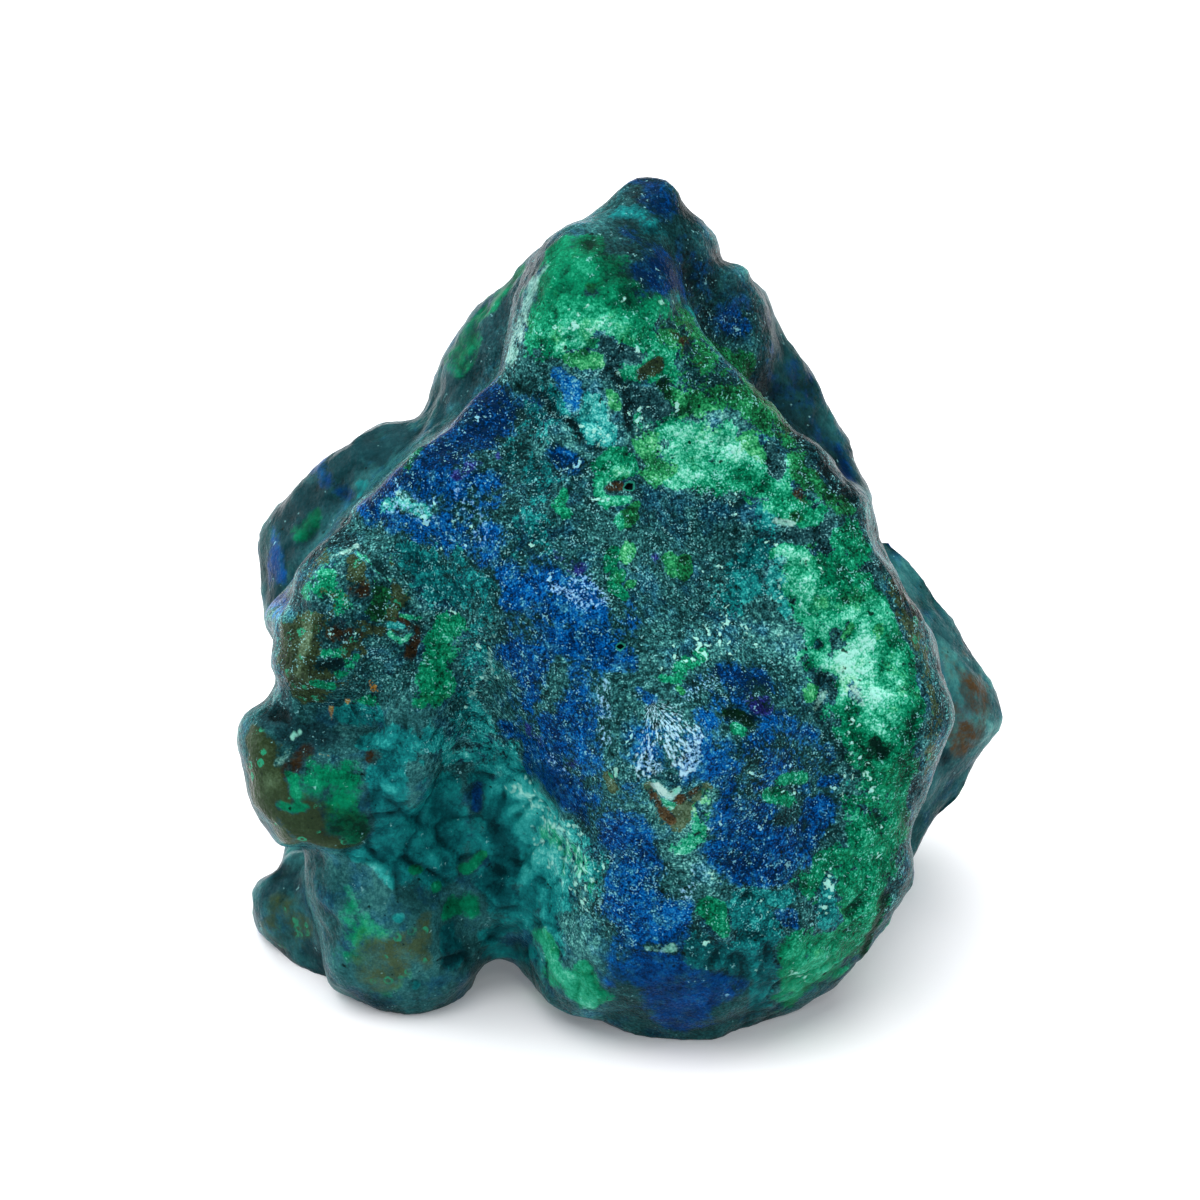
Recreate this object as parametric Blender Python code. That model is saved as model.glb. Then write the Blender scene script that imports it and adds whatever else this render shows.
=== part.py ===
"""Azurite malachite specimen: one tumbled lump of copper carbonate rock, about 36 mm across.

The whole stone is one solid.  Its form is written down as a distance rule: rounded
lobes and tapering ridges are melted together, flank planes slice the front mass, and
hollows are pressed in.  A cube's grid of points is thrown on to that rule's zero
surface, evened out, divided again, lightly rumpled, thinned, and the foot ground flat.
Lengths in the tables are millimetres in a leaning "face" frame (across, up, out) whose
front leans back from the upright by LEAN; the object is metres, +Z up, front to -Y.
"""
import bmesh
import bpy
import numpy as np
from math import cos, radians, sin

MM = 0.001
LEAN = radians(28.0)            # how far the front face leans back
FACE_HEIGHT = 17.8              # height of the face frame's origin above the table
COARSE_GRID = 20                # divisions along each edge of the starting cube
REFINE_CUTS = 2                 # cuts that turn the coarse grid into the fine one
COARSE_ROUNDS = 24              # evening-out passes on the coarse grid
FINE_ROUNDS = 6                 # evening-out passes on the fine grid
FACETS = 8700                   # triangles kept in the finished solid
SNAP = 0.12                     # points this near the table are set on it
RUMPLE_COARSE = (0.30, 3.4)     # height and wavelength of the slow undulation
RUMPLE_FINE = (0.09, 1.6)       # height and wavelength of the small bumps

# name, centre, half sizes, roll in degrees, power, blend
FRONT_LOBES = [
    ("belly", (2.5, -6.5, 1.5), (12.0, 12.5, 6.0), 0, 2.3, 0.0),
    ("field", (0.0, 2.0, 1.0), (15.5, 12.5, 6.4), 0, 2.3, 2.0),
]
# name, points (across, up, out, radius), blend
FRONT_RIDGES = [
    ("blue_ridge", [(-6.6, 6.0, 4.0, 3.8), (-1.6, 0.8, 5.2, 4.6), (3.6, -6.4, 5.8, 5.2),
                    (4.6, -12.6, 1.8, 5.2), (4.3, -17.4, -1.6, 3.7)], 2.2),
    ("spine", [(-0.6, 12.0, 4.2, 3.9), (-0.6, 7.0, 4.0, 4.4), (-1.0, 1.0, 4.8, 4.6)], 1.4),
    ("green_ridge", [(0.5, 12.0, 4.8, 2.6), (4.2, 9.4, 4.2, 3.0), (8.2, 4.6, 3.6, 3.2),
                     (11.6, -0.6, 4.0, 3.4), (12.6, -5.0, 3.6, 3.6), (11.4, -11.6, 0.8, 3.4),
                     (8.9, -16.0, -1.6, 3.0)], 1.4),
]
# name, azimuth and elevation of the outward direction, offset, blend
FLANKS = [
    ("upper_left", 126.5, 0, 10.9, 0.5),
    ("left", 137.6, 0, 11.2, 0.5),
    ("upper_right", 44.0, 0, 12.1, 0.8),
    ("right", 20.0, 0, 14.1, 0.8),
]
FRONT_HOLLOWS = [
    ("valley", (-6.9, -12.0, 8.6), (5.8, 8.4, 8.4), 20, 2, 1.4),
    ("valley_head", (-7.0, -6.0, 9.4), (2.4, 5.0, 5.2), 10, 2, 1.6),
    ("valley_foot", (-4.2, -17.5, 5.0), (2.2, 3.4, 7.0), 10, 2, 1.0),
    ("trough", (5.2, -1.0, 16.4), (2.4, 7.5, 6.8), 32, 2, 2.0),
]
BODY_LOBES = [
    ("crest", (-0.3, 13.0, 4.0), (3.9, 4.3, 4.8), -20, 2.4, 1.4),
    ("core", (-0.5, -3.5, -5.0), (12.5, 14.0, 7.5), 0, 2.2, 2.0),
    ("knob_a", (-11.0, 0.0, 4.2), (3.2, 3.0, 3.7), 20, 2.6, 0.5),
    ("knob_a_low", (-12.3, -2.6, 2.6), (3.0, 2.6, 4.6), -12, 2.5, 0.5),
    ("knob_b", (-14.0, -7.5, 0.6), (2.8, 3.6, 4.6), 12, 2.5, 0.6),
    ("knob_b_low", (-12.2, -8.6, 1.8), (3.0, 3.2, 3.8), -30, 2.4, 0.7),
    ("slope", (-8.2, -4.8, 3.4), (2.0, 4.8, 3.4), -16, 2.2, 1.2),
    ("saddle", (-9.2, -10.8, -1.6), (3.6, 6.0, 4.2), 0, 2, 1.2),
    ("knob_c", (-10.4, -14.2, -1.6), (3.2, 4.2, 4.0), 30, 2.4, 0.9),
    ("knob_c_low", (-8.6, -17.0, -2.8), (3.2, 2.8, 3.6), 20, 2.2, 0.8),
    ("knob_d", (-12.7, -15.4, -7.0), (4.4, 2.5, 3.6), -35, 2.3, 1.0),
    ("heel", (-9.0, -13.5, -9.5), (5.0, 4.4, 4.6), 0, 2.2, 1.6),
    ("knob_e", (-0.6, -16.4, -0.6), (2.7, 3.0, 3.4), 0, 2.3, 0.7),
    ("haunch", (8.6, -6.5, -10.0), (6.4, 8.0, 5.6), 0, 2.2, 2.0),
    ("spur", (13.6, -5.3, -10.0), (5.7, 8.8, 5.2), 0, 1.35, 0.8),
]
BODY_RIDGES = [
    ("apex", [(2.4, 18.4, 2.4, 1.4), (1.2, 16.8, 2.8, 2.0), (0.2, 15.0, 3.6, 2.8)], 1.0),
    ("shoulder", [(2.9, 16.6, 1.6, 2.4), (5.0, 12.0, -1.0, 3.3)], 0.8),
    ("back_ridge", [(5.4, 12.8, -2.0, 2.7), (7.4, 8.7, -3.6, 3.1), (9.2, 4.8, -4.6, 3.2),
                    (10.0, 0.9, -5.0, 3.0)], 0.5),
    ("lobe_g", [(-5.4, 8.2, -4.0, 3.6), (-3.4, 11.3, -3.0, 3.5), (-0.8, 13.7, -1.0, 3.6)], 0.8),
    ("lobe_f", [(-9.0, 5.2, -5.0, 3.7), (-12.6, 1.8, -6.6, 3.7), (-12.4, -2.4, -6.0, 3.0)], 0.5),
    ("slab", [(11.6, 1.2, -2.0, 2.4), (13.7, -2.4, -3.4, 2.3), (14.2, -5.8, -4.4, 2.4),
              (12.8, -10.5, -4.5, 2.8)], 0.9),
    ("back_left", [(-6.0, 4.0, -8.0, 4.5), (-7.5, -4.0, -9.5, 5.0),
                   (-6.0, -11.0, -11.0, 4.0)], 2.0),
    ("back_right", [(5.0, 5.0, -8.0, 4.5), (6.5, -3.0, -10.0, 5.0),
                    (6.5, -10.0, -12.5, 4.0)], 2.0),
]
GROOVES = [
    ("knob_a_edge", [(-12.2, 4.0, 3.6, 0.4), (-11.0, 2.9, 5.2, 0.5), (-9.6, 0.4, 6.6, 0.5),
                     (-9.3, -2.4, 6.2, 0.5), (-10.6, -4.9, 5.0, 0.6), (-13.6, -5.0, 3.4, 0.6)], 0.35),
]
BACK_HOLLOWS = [
    ("cleft", (-1.0, -1.5, -18.5), (2.6, 10.0, 6.0), -14, 2, 1.5),
    ("bowl", (-12.5, -7.5, -11.0), (4.0, 3.0, 4.0), 0, 2, 1.5),
    ("step", (10.0, 4.5, -13.5), (4.5, 3.4, 5.0), -30, 2, 1.2),
]

UP = np.array([0.0, sin(LEAN), cos(LEAN)])
OUT = np.array([0.0, -cos(LEAN), sin(LEAN)])
FACE = np.stack([np.array([1.0, 0.0, 0.0]), UP, OUT])
ORIGIN = np.array([0.0, 0.0, FACE_HEIGHT])
HEART = ORIGIN + np.array([0.0, -4.0, -5.5]) @ FACE


def melt(a, b, blend):
    """Smooth minimum of two distances: joins two forms with a fillet."""
    if blend <= 0.0:
        return np.minimum(a, b)
    width = 2.0 * blend
    h = np.maximum(width - np.abs(a - b), 0.0) / width
    return np.minimum(a, b) - h ** 3 * width / 6.0


def carve(a, b, blend):
    """Smooth maximum of two distances: keeps what lies in both forms."""
    return -melt(-a, -b, blend)


def lobe(q, centre, half, roll, power):
    """Distance-like value of a rolled ellipsoid, or of a boxier or sharper cousin."""
    c, s = cos(radians(roll)), sin(radians(roll))
    d = q - np.array(centre)
    e = np.abs(np.stack([d[:, 0] * c + d[:, 1] * s, d[:, 1] * c - d[:, 0] * s, d[:, 2]], -1))
    half = np.array(half)
    if power == 2:
        k = np.sqrt(((e / half) ** 2).sum(1))
        return k * (k - 1.0) / np.maximum(np.sqrt(((e / half ** 2) ** 2).sum(1)), 1e-6)
    return (((e / half) ** power).sum(1) ** (1.0 / power) - 1.0) * half.min()


def ridge(q, points):
    """Distance to a chain of round bars that taper from each point to the next."""
    best = None
    for start, end in zip(points[:-1], points[1:]):
        a, b = np.array(start[:3]), np.array(end[:3])
        along = b - a
        t = np.clip((q - a) @ along / (along @ along), 0.0, 1.0)
        d = np.linalg.norm(q - a - t[:, None] * along, axis=1)
        d -= start[3] + t * (end[3] - start[3])
        best = d if best is None else melt(best, d, 0.5)
    return best


def slice_plane(q, azimuth, elevation, offset):
    """Signed distance to a flank plane."""
    a, e = radians(azimuth), radians(elevation)
    return q @ np.array([cos(e) * cos(a), cos(e) * sin(a), sin(e)]) - offset


def distance(p):
    """The stone's distance rule: below zero inside, above zero outside."""
    q = (p - ORIGIN) @ FACE.T
    stone = None
    for _, centre, half, roll, power, blend in FRONT_LOBES:
        d = lobe(q, centre, half, roll, power)
        stone = d if stone is None else melt(stone, d, blend)
    for _, points, blend in FRONT_RIDGES:
        stone = melt(stone, ridge(q, points), blend)
    for _, azimuth, elevation, offset, blend in FLANKS:
        stone = carve(stone, slice_plane(q, azimuth, elevation, offset), blend)
    for _, centre, half, roll, power, blend in FRONT_HOLLOWS:
        stone = carve(stone, -lobe(q, centre, half, roll, power), blend)
    for _, centre, half, roll, power, blend in BODY_LOBES:
        stone = melt(stone, lobe(q, centre, half, roll, power), blend)
    for _, points, blend in BODY_RIDGES:
        stone = melt(stone, ridge(q, points), blend)
    for _, points, blend in GROOVES:
        stone = carve(stone, -ridge(q, points), blend)
    for _, centre, half, roll, power, blend in BACK_HOLLOWS:
        stone = carve(stone, -lobe(q, centre, half, roll, power), blend)
    return stone


def settle(points, edges, rounds):
    """Average the points with their neighbours, far ones counting for more so that sharp
    tips keep their points, and drop them back on to the surface."""
    count = len(points)
    ends = np.concatenate([edges, edges[:, ::-1]])
    for _ in range(rounds):
        pull = points[ends[:, 1]] - points[ends[:, 0]]
        weight = (pull ** 2).sum(1)
        total = np.bincount(ends[:, 0], weight, count)[:, None]
        shift = np.stack([np.bincount(ends[:, 0], weight * pull[:, k], count)
                          for k in range(3)], 1)
        points = points + 0.5 * shift / total
        value, normal = slope(points)
        size = np.maximum((normal ** 2).sum(1), 0.2)
        points = points - np.clip(value / size, -0.8, 0.8)[:, None] * normal
    return points


def slope(p):
    """Value of the rule and its gradient, by small steps."""
    here = distance(p)
    step = 0.02
    return here, np.stack([(distance(p + step * e) - here) / step for e in np.eye(3)], 1)


def rumble(q, seed):
    """Smooth gradient noise on a unit lattice, about -0.7 to 0.7."""
    cell = np.floor(q).astype(np.int64)
    f = q - cell
    w = f * f * f * (f * (f * 6.0 - 15.0) + 10.0)
    total = np.zeros(len(q))
    for corner in np.ndindex(2, 2, 2):
        c = cell + np.array(corner)
        h = (c[:, 0] * 73856093) ^ (c[:, 1] * 19349663) ^ (c[:, 2] * 83492791) ^ (seed * 2654435)
        h = ((h ^ (h >> 13)) * 1274126177) & 0xFFFFFFFF
        h = h ^ (h >> 16)
        g = np.stack([(h & 1023), (h >> 10) & 1023, (h >> 20) & 1023], 1) / 511.5 - 1.0
        share = np.where(corner, w, 1.0 - w).prod(1)
        total += share * (g * (f - np.array(corner))).sum(1)
    return total


def relief(p):
    """Height of the undulation added along the outward direction."""
    swirl = np.stack([rumble(p / 5.0, 11), rumble(p / 5.0, 12), rumble(p / 5.0, 13)], 1)
    turned = p @ np.array([[0.8, 0.36, 0.48], [-0.6, 0.48, 0.64], [0.0, -0.8, 0.6]])
    coarse, fine = RUMPLE_COARSE, RUMPLE_FINE
    return (coarse[0] * 1.6 * rumble((turned + 1.5 * swirl) / coarse[1], 3)
            + fine[0] * 1.6 * rumble((turned + swirl) / fine[1], 5))


def read_points(bm):
    """The mesh's points as an array, in index order."""
    bm.verts.index_update()
    return np.array([v.co for v in bm.verts])


def read_edges(bm):
    """The mesh's edges as pairs of point indices."""
    return np.array([[v.index for v in e.verts] for e in bm.edges])


def write_points(bm, points):
    """Move the mesh's points to the places in an array."""
    for v, p in zip(bm.verts, points):
        v.co = p


for thing in list(bpy.data.objects):
    bpy.data.objects.remove(thing)

# A cube divided into a grid on every side.
bm = bmesh.new()
bmesh.ops.create_cube(bm, size=2.0)
bmesh.ops.subdivide_edges(bm, edges=bm.edges[:], cuts=COARSE_GRID - 1, use_grid_fill=True)

# Each cube point gives a direction from the heart; march in from outside to the surface.
rays = np.tan(read_points(bm) * radians(45.0))
rays /= np.linalg.norm(rays, axis=1)[:, None]
rays += 0.25 * OUT
rays /= np.linalg.norm(rays, axis=1)[:, None]
reach = np.full(len(rays), 40.0)
for _ in range(60):
    reach -= 0.7 * np.clip(distance(HEART + rays * reach[:, None]), -1.0, 4.0)
    reach = np.maximum(reach, 0.5)
write_points(bm, settle(HEART + rays * reach[:, None], read_edges(bm), COARSE_ROUNDS))

# Divide again, settle the new points, and add the undulation along the outward direction.
bmesh.ops.subdivide_edges(bm, edges=bm.edges[:], cuts=REFINE_CUTS, use_grid_fill=True)
points = settle(read_points(bm), read_edges(bm), FINE_ROUNDS)
normal = slope(points)[1]
normal /= np.linalg.norm(normal, axis=1)[:, None]
points += normal * relief(points)[:, None]

# Centre the plan of the stone over the origin.
low, high = points.min(0), points.max(0)
points[:, :2] -= (low[:2] + high[:2]) / 2.0
write_points(bm, points)
bmesh.ops.triangulate(bm, faces=bm.faces[:])
bmesh.ops.recalc_face_normals(bm, faces=bm.faces[:])
mesh = bpy.data.meshes.new("specimen")
bm.to_mesh(mesh)
bm.free()

# Thin the mesh so flat runs get large facets and tight forms keep small ones.
group = bpy.data.collections.new("azurite_malachite_specimen")
bpy.context.scene.collection.children.link(group)
specimen = bpy.data.objects.new("specimen", mesh)
group.objects.link(specimen)
thin = specimen.modifiers.new("thin", "DECIMATE")
thin.ratio = FACETS / len(mesh.polygons)
bpy.context.view_layer.update()
thinned = specimen.evaluated_get(bpy.context.evaluated_depsgraph_get())
bm = bmesh.new()
bm.from_mesh(thinned.to_mesh())
thinned.to_mesh_clear()
specimen.modifiers.clear()

# Grind the foot flat on the table plane and close the cut.
for v in bm.verts:
    if abs(v.co.z) < SNAP:
        v.co.z = 0.0
everything = bm.verts[:] + bm.edges[:] + bm.faces[:]
bmesh.ops.bisect_plane(bm, geom=everything, dist=1e-5, plane_co=(0.0, 0.0, 0.0),
                       plane_no=(0.0, 0.0, 1.0), clear_inner=True)
rim = [e for e in bm.edges if e.is_boundary]
bmesh.ops.holes_fill(bm, edges=rim, sides=0)
bmesh.ops.triangulate(bm, faces=bm.faces[:], ngon_method="EAR_CLIP")
bmesh.ops.recalc_face_normals(bm, faces=bm.faces[:])
bmesh.ops.scale(bm, vec=(MM, MM, MM), verts=bm.verts[:])
bm.to_mesh(mesh)
bm.free()
mesh.update()

# Azurite and malachite ground: a dark blue-green stone with a tumbled polish.
stone = bpy.data.materials.new("stone")
stone.use_nodes = True
shader = stone.node_tree.nodes["Principled BSDF"]
shader.inputs["Base Color"].default_value = (0.012, 0.078, 0.105, 1.0)
shader.inputs["Roughness"].default_value = 0.35
mesh.materials.append(stone)
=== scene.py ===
# %% [markdown]
# # A tumbled lump of azurite and malachite
#
# Azurite and malachite are two copper carbonates, one deep blue and one green, that grow
# through each other in the same rock.  This lump has been tumbled with grit until its high
# places shine.  It is one piece: a leaning rounded face, a green crest, round knobs down the
# left side, a hollow valley between, and darker ridges behind.
#
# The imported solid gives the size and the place.  The stone that is seen is a finer surface
# made here from the same form, coloured mineral by mineral.

# %% Load the frame that the solid sets
from math import cos, pi, radians, sin

import bpy
import numpy as np
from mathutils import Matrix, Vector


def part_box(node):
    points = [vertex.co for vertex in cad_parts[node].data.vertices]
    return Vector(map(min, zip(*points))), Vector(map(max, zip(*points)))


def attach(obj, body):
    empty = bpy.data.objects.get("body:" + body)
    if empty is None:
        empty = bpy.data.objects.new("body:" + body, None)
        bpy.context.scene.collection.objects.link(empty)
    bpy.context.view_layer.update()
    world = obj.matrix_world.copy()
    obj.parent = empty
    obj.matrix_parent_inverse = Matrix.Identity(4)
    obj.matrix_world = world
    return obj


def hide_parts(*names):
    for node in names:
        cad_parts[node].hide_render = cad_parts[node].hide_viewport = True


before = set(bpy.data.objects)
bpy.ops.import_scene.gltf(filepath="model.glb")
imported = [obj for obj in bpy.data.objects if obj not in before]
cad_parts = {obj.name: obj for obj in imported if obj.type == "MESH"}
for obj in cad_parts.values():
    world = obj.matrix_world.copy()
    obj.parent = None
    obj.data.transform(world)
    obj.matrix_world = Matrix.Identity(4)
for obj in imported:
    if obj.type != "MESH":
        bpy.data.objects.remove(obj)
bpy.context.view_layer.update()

# %% [markdown]
# ## The face frame
#
# A stone has no axes of its own, so its shape is easiest to write down in a frame that lies
# on its broad front.  The front leans back from the upright, and every place on the stone is
# given as millimetres across, up and out from the middle of that leaning face.

# %% The leaning frame and its unit
MM = 0.001
LEAN = radians(28.0)
FACE_HEIGHT = 17.8
UP = np.array([0.0, sin(LEAN), cos(LEAN)])
OUT = np.array([0.0, -cos(LEAN), sin(LEAN)])
FACE = np.stack([np.array([1.0, 0.0, 0.0]), UP, OUT])
ORIGIN = np.array([0.0, 0.0, FACE_HEIGHT])
HEART = ORIGIN + np.array([0.0, -4.0, -5.5]) @ FACE
EYE_DISTANCE = 400.0            # from the face's middle to the viewer, straight out from it


def to_face(p):
    """Places in the row frame (mm) as across, up and out."""
    return (p - ORIGIN) @ FACE.T


def as_seen(q):
    """Across and up as they look from the viewer: nearer places look larger by D / (D - out)."""
    return q[:, :2] * (EYE_DISTANCE / (EYE_DISTANCE - q[:, 2:3]))


print("the face leans back", round(LEAN * 180 / pi), "degrees")

# %% [markdown]
# ## The form
#
# The stone could be sculpted by hand or grown from metaballs.  Here it is a distance rule:
# a function that is negative inside and positive outside.  Rounded lobes and tapering ridges
# are joined with a smooth minimum, which leaves a fillet like worn rock; flank planes and
# hollows are taken away with a smooth maximum.  The rule keeps every form editable by name.

# %% Lobes, ridges, flanks and hollows of the stone
FRONT_LOBES = [
    ("belly", (2.5, -6.5, 1.5), (12.0, 12.5, 6.0), 0, 2.3, 0.0),
    ("field", (0.0, 2.0, 1.0), (15.5, 12.5, 6.4), 0, 2.3, 2.0),
]
FRONT_RIDGES = [
    ("blue_ridge", [(-6.6, 6.0, 4.0, 3.8), (-1.6, 0.8, 5.2, 4.6), (3.6, -6.4, 5.8, 5.2),
                    (4.6, -12.6, 1.8, 5.2), (4.3, -17.4, -1.6, 3.7)], 2.2),
    ("spine", [(-0.6, 12.0, 4.2, 3.9), (-0.6, 7.0, 4.0, 4.4), (-1.0, 1.0, 4.8, 4.6)], 1.4),
    ("green_ridge", [(0.5, 12.0, 4.8, 2.6), (4.2, 9.4, 4.2, 3.0), (8.2, 4.6, 3.6, 3.2),
                     (11.6, -0.6, 4.0, 3.4), (12.6, -5.0, 3.6, 3.6), (11.4, -11.6, 0.8, 3.4),
                     (8.9, -16.0, -1.6, 3.0)], 1.4),
]
FLANKS = [
    ("upper_left", 126.5, 0, 10.9, 0.5),
    ("left", 137.6, 0, 11.2, 0.5),
    ("upper_right", 44.0, 0, 12.1, 0.8),
    ("right", 20.0, 0, 14.1, 0.8),
]
FRONT_HOLLOWS = [
    ("valley", (-6.9, -12.0, 8.6), (5.8, 8.4, 8.4), 20, 2, 1.4),
    ("valley_head", (-7.0, -6.0, 9.4), (2.4, 5.0, 5.2), 10, 2, 1.6),
    ("valley_foot", (-4.2, -17.5, 5.0), (2.2, 3.4, 7.0), 10, 2, 1.0),
    ("trough", (5.2, -1.0, 16.4), (2.4, 7.5, 6.8), 32, 2, 2.0),
]
BODY_LOBES = [
    ("crest", (-0.3, 13.0, 4.0), (3.9, 4.3, 4.8), -20, 2.4, 1.4),
    ("core", (-0.5, -3.5, -5.0), (12.5, 14.0, 7.5), 0, 2.2, 2.0),
    ("knob_a", (-11.0, 0.0, 4.2), (3.2, 3.0, 3.7), 20, 2.6, 0.5),
    ("knob_a_low", (-12.3, -2.6, 2.6), (3.0, 2.6, 4.6), -12, 2.5, 0.5),
    ("knob_b", (-14.0, -7.5, 0.6), (2.8, 3.6, 4.6), 12, 2.5, 0.6),
    ("knob_b_low", (-12.2, -8.6, 1.8), (3.0, 3.2, 3.8), -30, 2.4, 0.7),
    ("slope", (-8.2, -4.8, 3.4), (2.0, 4.8, 3.4), -16, 2.2, 1.2),
    ("saddle", (-9.2, -10.8, -1.6), (3.6, 6.0, 4.2), 0, 2, 1.2),
    ("knob_c", (-10.4, -14.2, -1.6), (3.2, 4.2, 4.0), 30, 2.4, 0.9),
    ("knob_c_low", (-8.6, -17.0, -2.8), (3.2, 2.8, 3.6), 20, 2.2, 0.8),
    ("knob_d", (-12.7, -15.4, -7.0), (4.4, 2.5, 3.6), -35, 2.3, 1.0),
    ("heel", (-9.0, -13.5, -9.5), (5.0, 4.4, 4.6), 0, 2.2, 1.6),
    ("knob_e", (-0.6, -16.4, -0.6), (2.7, 3.0, 3.4), 0, 2.3, 0.7),
    ("haunch", (8.6, -6.5, -10.0), (6.4, 8.0, 5.6), 0, 2.2, 2.0),
    ("spur", (13.6, -5.3, -10.0), (5.7, 8.8, 5.2), 0, 1.35, 0.8),
]
BODY_RIDGES = [
    ("apex", [(2.4, 18.4, 2.4, 1.4), (1.2, 16.8, 2.8, 2.0), (0.2, 15.0, 3.6, 2.8)], 1.0),
    ("shoulder", [(2.9, 16.6, 1.6, 2.4), (5.0, 12.0, -1.0, 3.3)], 0.8),
    ("back_ridge", [(5.4, 12.8, -2.0, 2.7), (7.4, 8.7, -3.6, 3.1), (9.2, 4.8, -4.6, 3.2),
                    (10.0, 0.9, -5.0, 3.0)], 0.5),
    ("lobe_g", [(-5.4, 8.2, -4.0, 3.6), (-3.4, 11.3, -3.0, 3.5), (-0.8, 13.7, -1.0, 3.6)], 0.8),
    ("lobe_f", [(-9.0, 5.2, -5.0, 3.7), (-12.6, 1.8, -6.6, 3.7), (-12.4, -2.4, -6.0, 3.0)], 0.5),
    ("slab", [(11.6, 1.2, -2.0, 2.4), (13.7, -2.4, -3.4, 2.3), (14.2, -5.8, -4.4, 2.4),
              (12.8, -10.5, -4.5, 2.8)], 0.9),
    ("back_left", [(-6.0, 4.0, -8.0, 4.5), (-7.5, -4.0, -9.5, 5.0),
                   (-6.0, -11.0, -11.0, 4.0)], 2.0),
    ("back_right", [(5.0, 5.0, -8.0, 4.5), (6.5, -3.0, -10.0, 5.0),
                    (6.5, -10.0, -12.5, 4.0)], 2.0),
]
GROOVES = [
    ("knob_a_edge", [(-12.2, 4.0, 3.6, 0.4), (-11.0, 2.9, 5.2, 0.5), (-9.6, 0.4, 6.6, 0.5),
                     (-9.3, -2.4, 6.2, 0.5), (-10.6, -4.9, 5.0, 0.6), (-13.6, -5.0, 3.4, 0.6)], 0.35),
]
BACK_HOLLOWS = [
    ("cleft", (-1.0, -1.5, -18.5), (2.6, 10.0, 6.0), -14, 2, 1.5),
    ("bowl", (-12.5, -7.5, -11.0), (4.0, 3.0, 4.0), 0, 2, 1.5),
    ("step", (10.0, 4.5, -13.5), (4.5, 3.4, 5.0), -30, 2, 1.2),
]
print("forms:", sum(map(len, (FRONT_LOBES, FRONT_RIDGES, FLANKS, FRONT_HOLLOWS, BODY_LOBES,
                              BODY_RIDGES, GROOVES, BACK_HOLLOWS))))

# %% [markdown]
# A plain minimum of two distances leaves a sharp crease where two forms meet.  The smooth
# one rounds it over a width of its own for each form, small beside a knob and wide where
# the stone is worn through.

# %% Joining, carving, and the distance to each kind of form
STEP = 0.02                     # mm, for the gradient


def melt(a, b, blend):
    """Smooth minimum: min(a, b) less h cubed times a sixth of the width, h being how close
    the two are as a share of the width."""
    if blend <= 0.0:
        return np.minimum(a, b)
    width = 2.0 * blend
    h = np.maximum(width - np.abs(a - b), 0.0) / width
    return np.minimum(a, b) - h ** 3 * width / 6.0


def carve(a, b, blend):
    """Smooth maximum: the smooth minimum of the two with their signs turned."""
    return -melt(-a, -b, blend)


def lobe(q, centre, half, roll, power):
    """A rolled ellipsoid: the sum of (offset / half size) to the power, brought back by the
    root, less one.  A power above two is boxier, below two is more pointed."""
    c, s = cos(radians(roll)), sin(radians(roll))
    d = q - np.array(centre)
    e = np.abs(np.stack([d[:, 0] * c + d[:, 1] * s, d[:, 1] * c - d[:, 0] * s, d[:, 2]], -1))
    half = np.array(half)
    if power == 2:
        k = np.sqrt(((e / half) ** 2).sum(1))
        return k * (k - 1.0) / np.maximum(np.sqrt(((e / half ** 2) ** 2).sum(1)), 1e-6)
    return (((e / half) ** power).sum(1) ** (1.0 / power) - 1.0) * half.min()


def ridge(q, points):
    """A chain of round bars: distance to the nearest place on each axis, less a radius that
    runs evenly from one end to the other."""
    best = None
    for start, end in zip(points[:-1], points[1:]):
        a, b = np.array(start[:3]), np.array(end[:3])
        along = b - a
        t = np.clip((q - a) @ along / (along @ along), 0.0, 1.0)
        d = np.linalg.norm(q - a - t[:, None] * along, axis=1)
        d -= start[3] + t * (end[3] - start[3])
        best = d if best is None else melt(best, d, 0.5)
    return best


def flank(q, azimuth, elevation, offset):
    """How far a place lies beyond a plane that faces the given way."""
    a, e = radians(azimuth), radians(elevation)
    return q @ np.array([cos(e) * cos(a), cos(e) * sin(a), sin(e)]) - offset


def distance(p):
    """The stone's rule: front forms joined, flanks and hollows carved, then the body joined
    and the hidden back carved."""
    q = to_face(p)
    stone = None
    for _, centre, half, roll, power, blend in FRONT_LOBES:
        d = lobe(q, centre, half, roll, power)
        stone = d if stone is None else melt(stone, d, blend)
    for _, points, blend in FRONT_RIDGES:
        stone = melt(stone, ridge(q, points), blend)
    for _, azimuth, elevation, offset, blend in FLANKS:
        stone = carve(stone, flank(q, azimuth, elevation, offset), blend)
    for _, centre, half, roll, power, blend in FRONT_HOLLOWS:
        stone = carve(stone, -lobe(q, centre, half, roll, power), blend)
    for _, centre, half, roll, power, blend in BODY_LOBES:
        stone = melt(stone, lobe(q, centre, half, roll, power), blend)
    for _, points, blend in BODY_RIDGES:
        stone = melt(stone, ridge(q, points), blend)
    for _, points, blend in GROOVES:
        stone = carve(stone, -ridge(q, points), blend)
    for _, centre, half, roll, power, blend in BACK_HOLLOWS:
        stone = carve(stone, -lobe(q, centre, half, roll, power), blend)
    return stone


def slope(p):
    """The rule's value and its gradient, by a small step along each axis."""
    here = distance(p)
    return here, np.stack([(distance(p + STEP * e) - here) / STEP for e in np.eye(3)], 1)


print("rule at the heart:", distance(HEART[None]).round(1), "mm inside")

# %% [markdown]
# ## From a cube to the stone
#
# A round thing can be meshed with a globe's grid, but a globe has two poles where faces
# pinch.  A cube's six grids, blown up like a ball, have none.  Every grid point is a place
# (a, b) on one side of the cube; it gives a direction from the stone's heart, and marching
# in along it finds the surface.  Averaging each point with its neighbours and dropping it
# back on to the surface spreads the points evenly.  It starts coarse and is halved three
# times, because a coarse net evens out in a few rounds and a fine one would need hundreds.

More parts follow.
